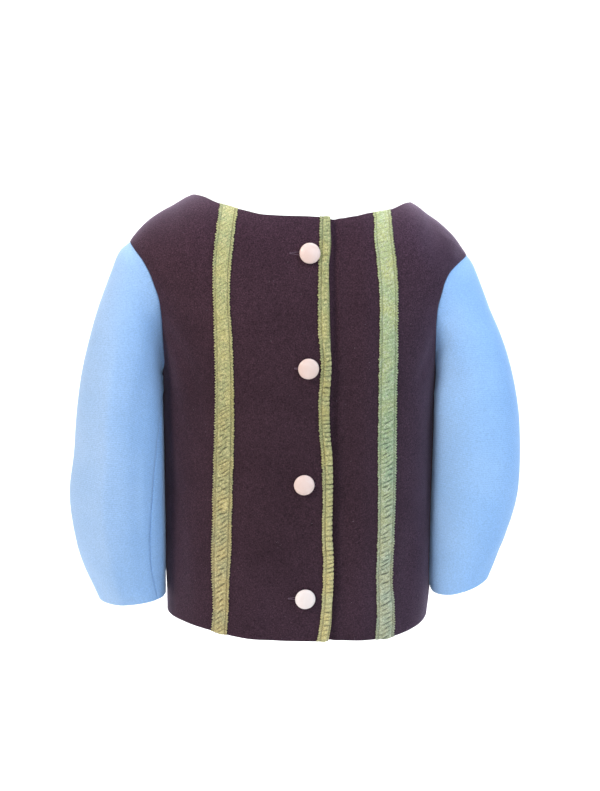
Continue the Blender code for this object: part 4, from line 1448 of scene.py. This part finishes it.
LAMPS = table(
    "name place aim size power colour",
    ("key", (-2.1, -1.5, 1.3), (0, 0, -0.25), 0.8, 57.0, (1.0, 0.90, 0.82)),
    ("fill", (1.8, -1.7, 0.7), (0, 0, -0.25), 1.7, 25.0, (0.68, 0.85, 1.0)),
    ("top", (0.7, -0.6, 1.7), (0, 0, -0.1), 1.3, 22.0, (0.72, 0.82, 1.0)),
    ("wall", (0.0, 1.2, 1.9), (0, 2.4, -0.3), 2.2, 80.0, (1.0, 1.0, 1.0)),
    ("back", (0.4, 1.3, 1.0), (0, 0, -0.3), 1.5, 8.0, (1.0, 1.0, 1.0)),
)
WORLD_STRENGTH = 0.25


def make_lights():
    """Soft round lamps and a pale world."""
    for lamp in LAMPS:
        data = bpy.data.lights.new(lamp.name, "AREA")
        data.shape = "DISK"
        data.size = lamp.size
        data.energy = lamp.power
        data.color = lamp.colour
        light = bpy.data.objects.new(lamp.name, data)
        light.location = lamp.place
        way = Vector(lamp.aim) - Vector(lamp.place)
        light.rotation_euler = way.to_track_quat("-Z", "Y").to_euler()
        bpy.context.scene.collection.objects.link(light)
    world = bpy.data.worlds.new("studio")
    world.use_nodes = True
    background = world.node_tree.nodes["Background"]
    background.inputs["Color"].default_value = rgba(1.0)
    background.inputs["Strength"].default_value = WORLD_STRENGTH
    bpy.context.scene.world = world
    bpy.context.scene.view_settings.view_transform = "Standard"


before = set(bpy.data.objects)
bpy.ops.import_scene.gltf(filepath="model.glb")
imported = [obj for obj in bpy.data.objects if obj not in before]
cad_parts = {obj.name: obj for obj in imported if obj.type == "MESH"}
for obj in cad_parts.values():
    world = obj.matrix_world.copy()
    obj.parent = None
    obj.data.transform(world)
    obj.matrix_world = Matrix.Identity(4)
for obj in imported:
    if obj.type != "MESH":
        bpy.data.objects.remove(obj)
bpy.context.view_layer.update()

make_camera()
make_lights()
make_stage()

surfaces = {
    "front_right": half_panel(-1, -1, lambda height: -front_edge(height)),
    "front_left": half_panel(1, -1, lambda height: 0 * height - UNDER_EDGE),
    "back_right": half_panel(-1, 1, lambda height: 0 * height),
    "back_left": half_panel(1, 1, lambda height: 0 * height),
}
right_sleeve = sleeve_surface(
    -1, SLEEVE_RIGHT, TWIST_RIGHT, surfaces["front_right"], surfaces["back_right"]
)
left_sleeve = sleeve_surface(
    1, SLEEVE_LEFT, TWIST_LEFT, surfaces["front_left"], surfaces["back_left"]
)
loop_places = np.linspace(0, LOOP_STEPS, LOOP_POINTS + 1)
armhole_loops = [right_sleeve(loop_places, 0.0), left_sleeve(loop_places, 0.0)]
creases = body_creases()

brown = body_wool()
blue = sleeve_wool()
seats = [seat_of(button) for button in BUTTONS]

pieces = {
    "front_right": make_front("front_right", -1),
    "front_left": make_front("front_left", 1),
    "back": make_back(),
}
cut_slits(pieces["front_right"], seats)
for name in ("front_right", "front_left", "back"):
    dress(pieces[name], brown)
    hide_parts(name)
sleeves = make_sleeves()
for name, piece in sleeves.items():
    dress(piece, blue)
    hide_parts(name)

thread_paths = []
for name, (piece, paths), look in (
    ("ribbon_right", make_ribbon("trim_ribbon_right", -1, RIGHT_SHAPE, RUCHED_RIGHT), RIGHT_LOOK),
    ("ribbon_left", make_ribbon("trim_ribbon_left", 1, LEFT_SHAPE, RUCHED_LEFT), LEFT_LOOK),
    ("ribbon_edge", make_edge_ribbon(), EDGE_LOOK),
):
    dress(piece, ribbon_cloth(f"{name}_green", look))
    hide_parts(name)
    pieces[name] = piece
    thread_paths += paths
stitches = tubes("ribbon_stitches", thread_paths, THREAD_RADIUS, sides=4)
dress(stitches, thread("green_thread", (0.24, 0.23, 0.11)))

pink_pearl = pearl("pink_pearl", (0.80, 0.60, 0.53), (0.85, 0.68, 0.62))
pale_pearl = pearl("pale_pearl", (0.88, 0.76, 0.71), (0.90, 0.82, 0.79))
hole_paths = []
for number, (button, seat) in enumerate(zip(BUTTONS, seats), 1):
    piece = make_button(number, seat)
    dress(piece, pale_pearl if number == len(BUTTONS) else pink_pearl)
    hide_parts(f"button_{number}")
    hole_paths += buttonhole_paths(seat, button)
holes = tubes("worked_buttonholes", hole_paths, HOLE_THREAD, sides=5)
dress(holes, thread("brown_thread", (0.16, 0.10, 0.14)))
lint = tubes("lint", lint_paths(), LINT_RADIUS, sides=4)
dress(lint, thread("lint_fibre", (0.30, 0.24, 0.28)))
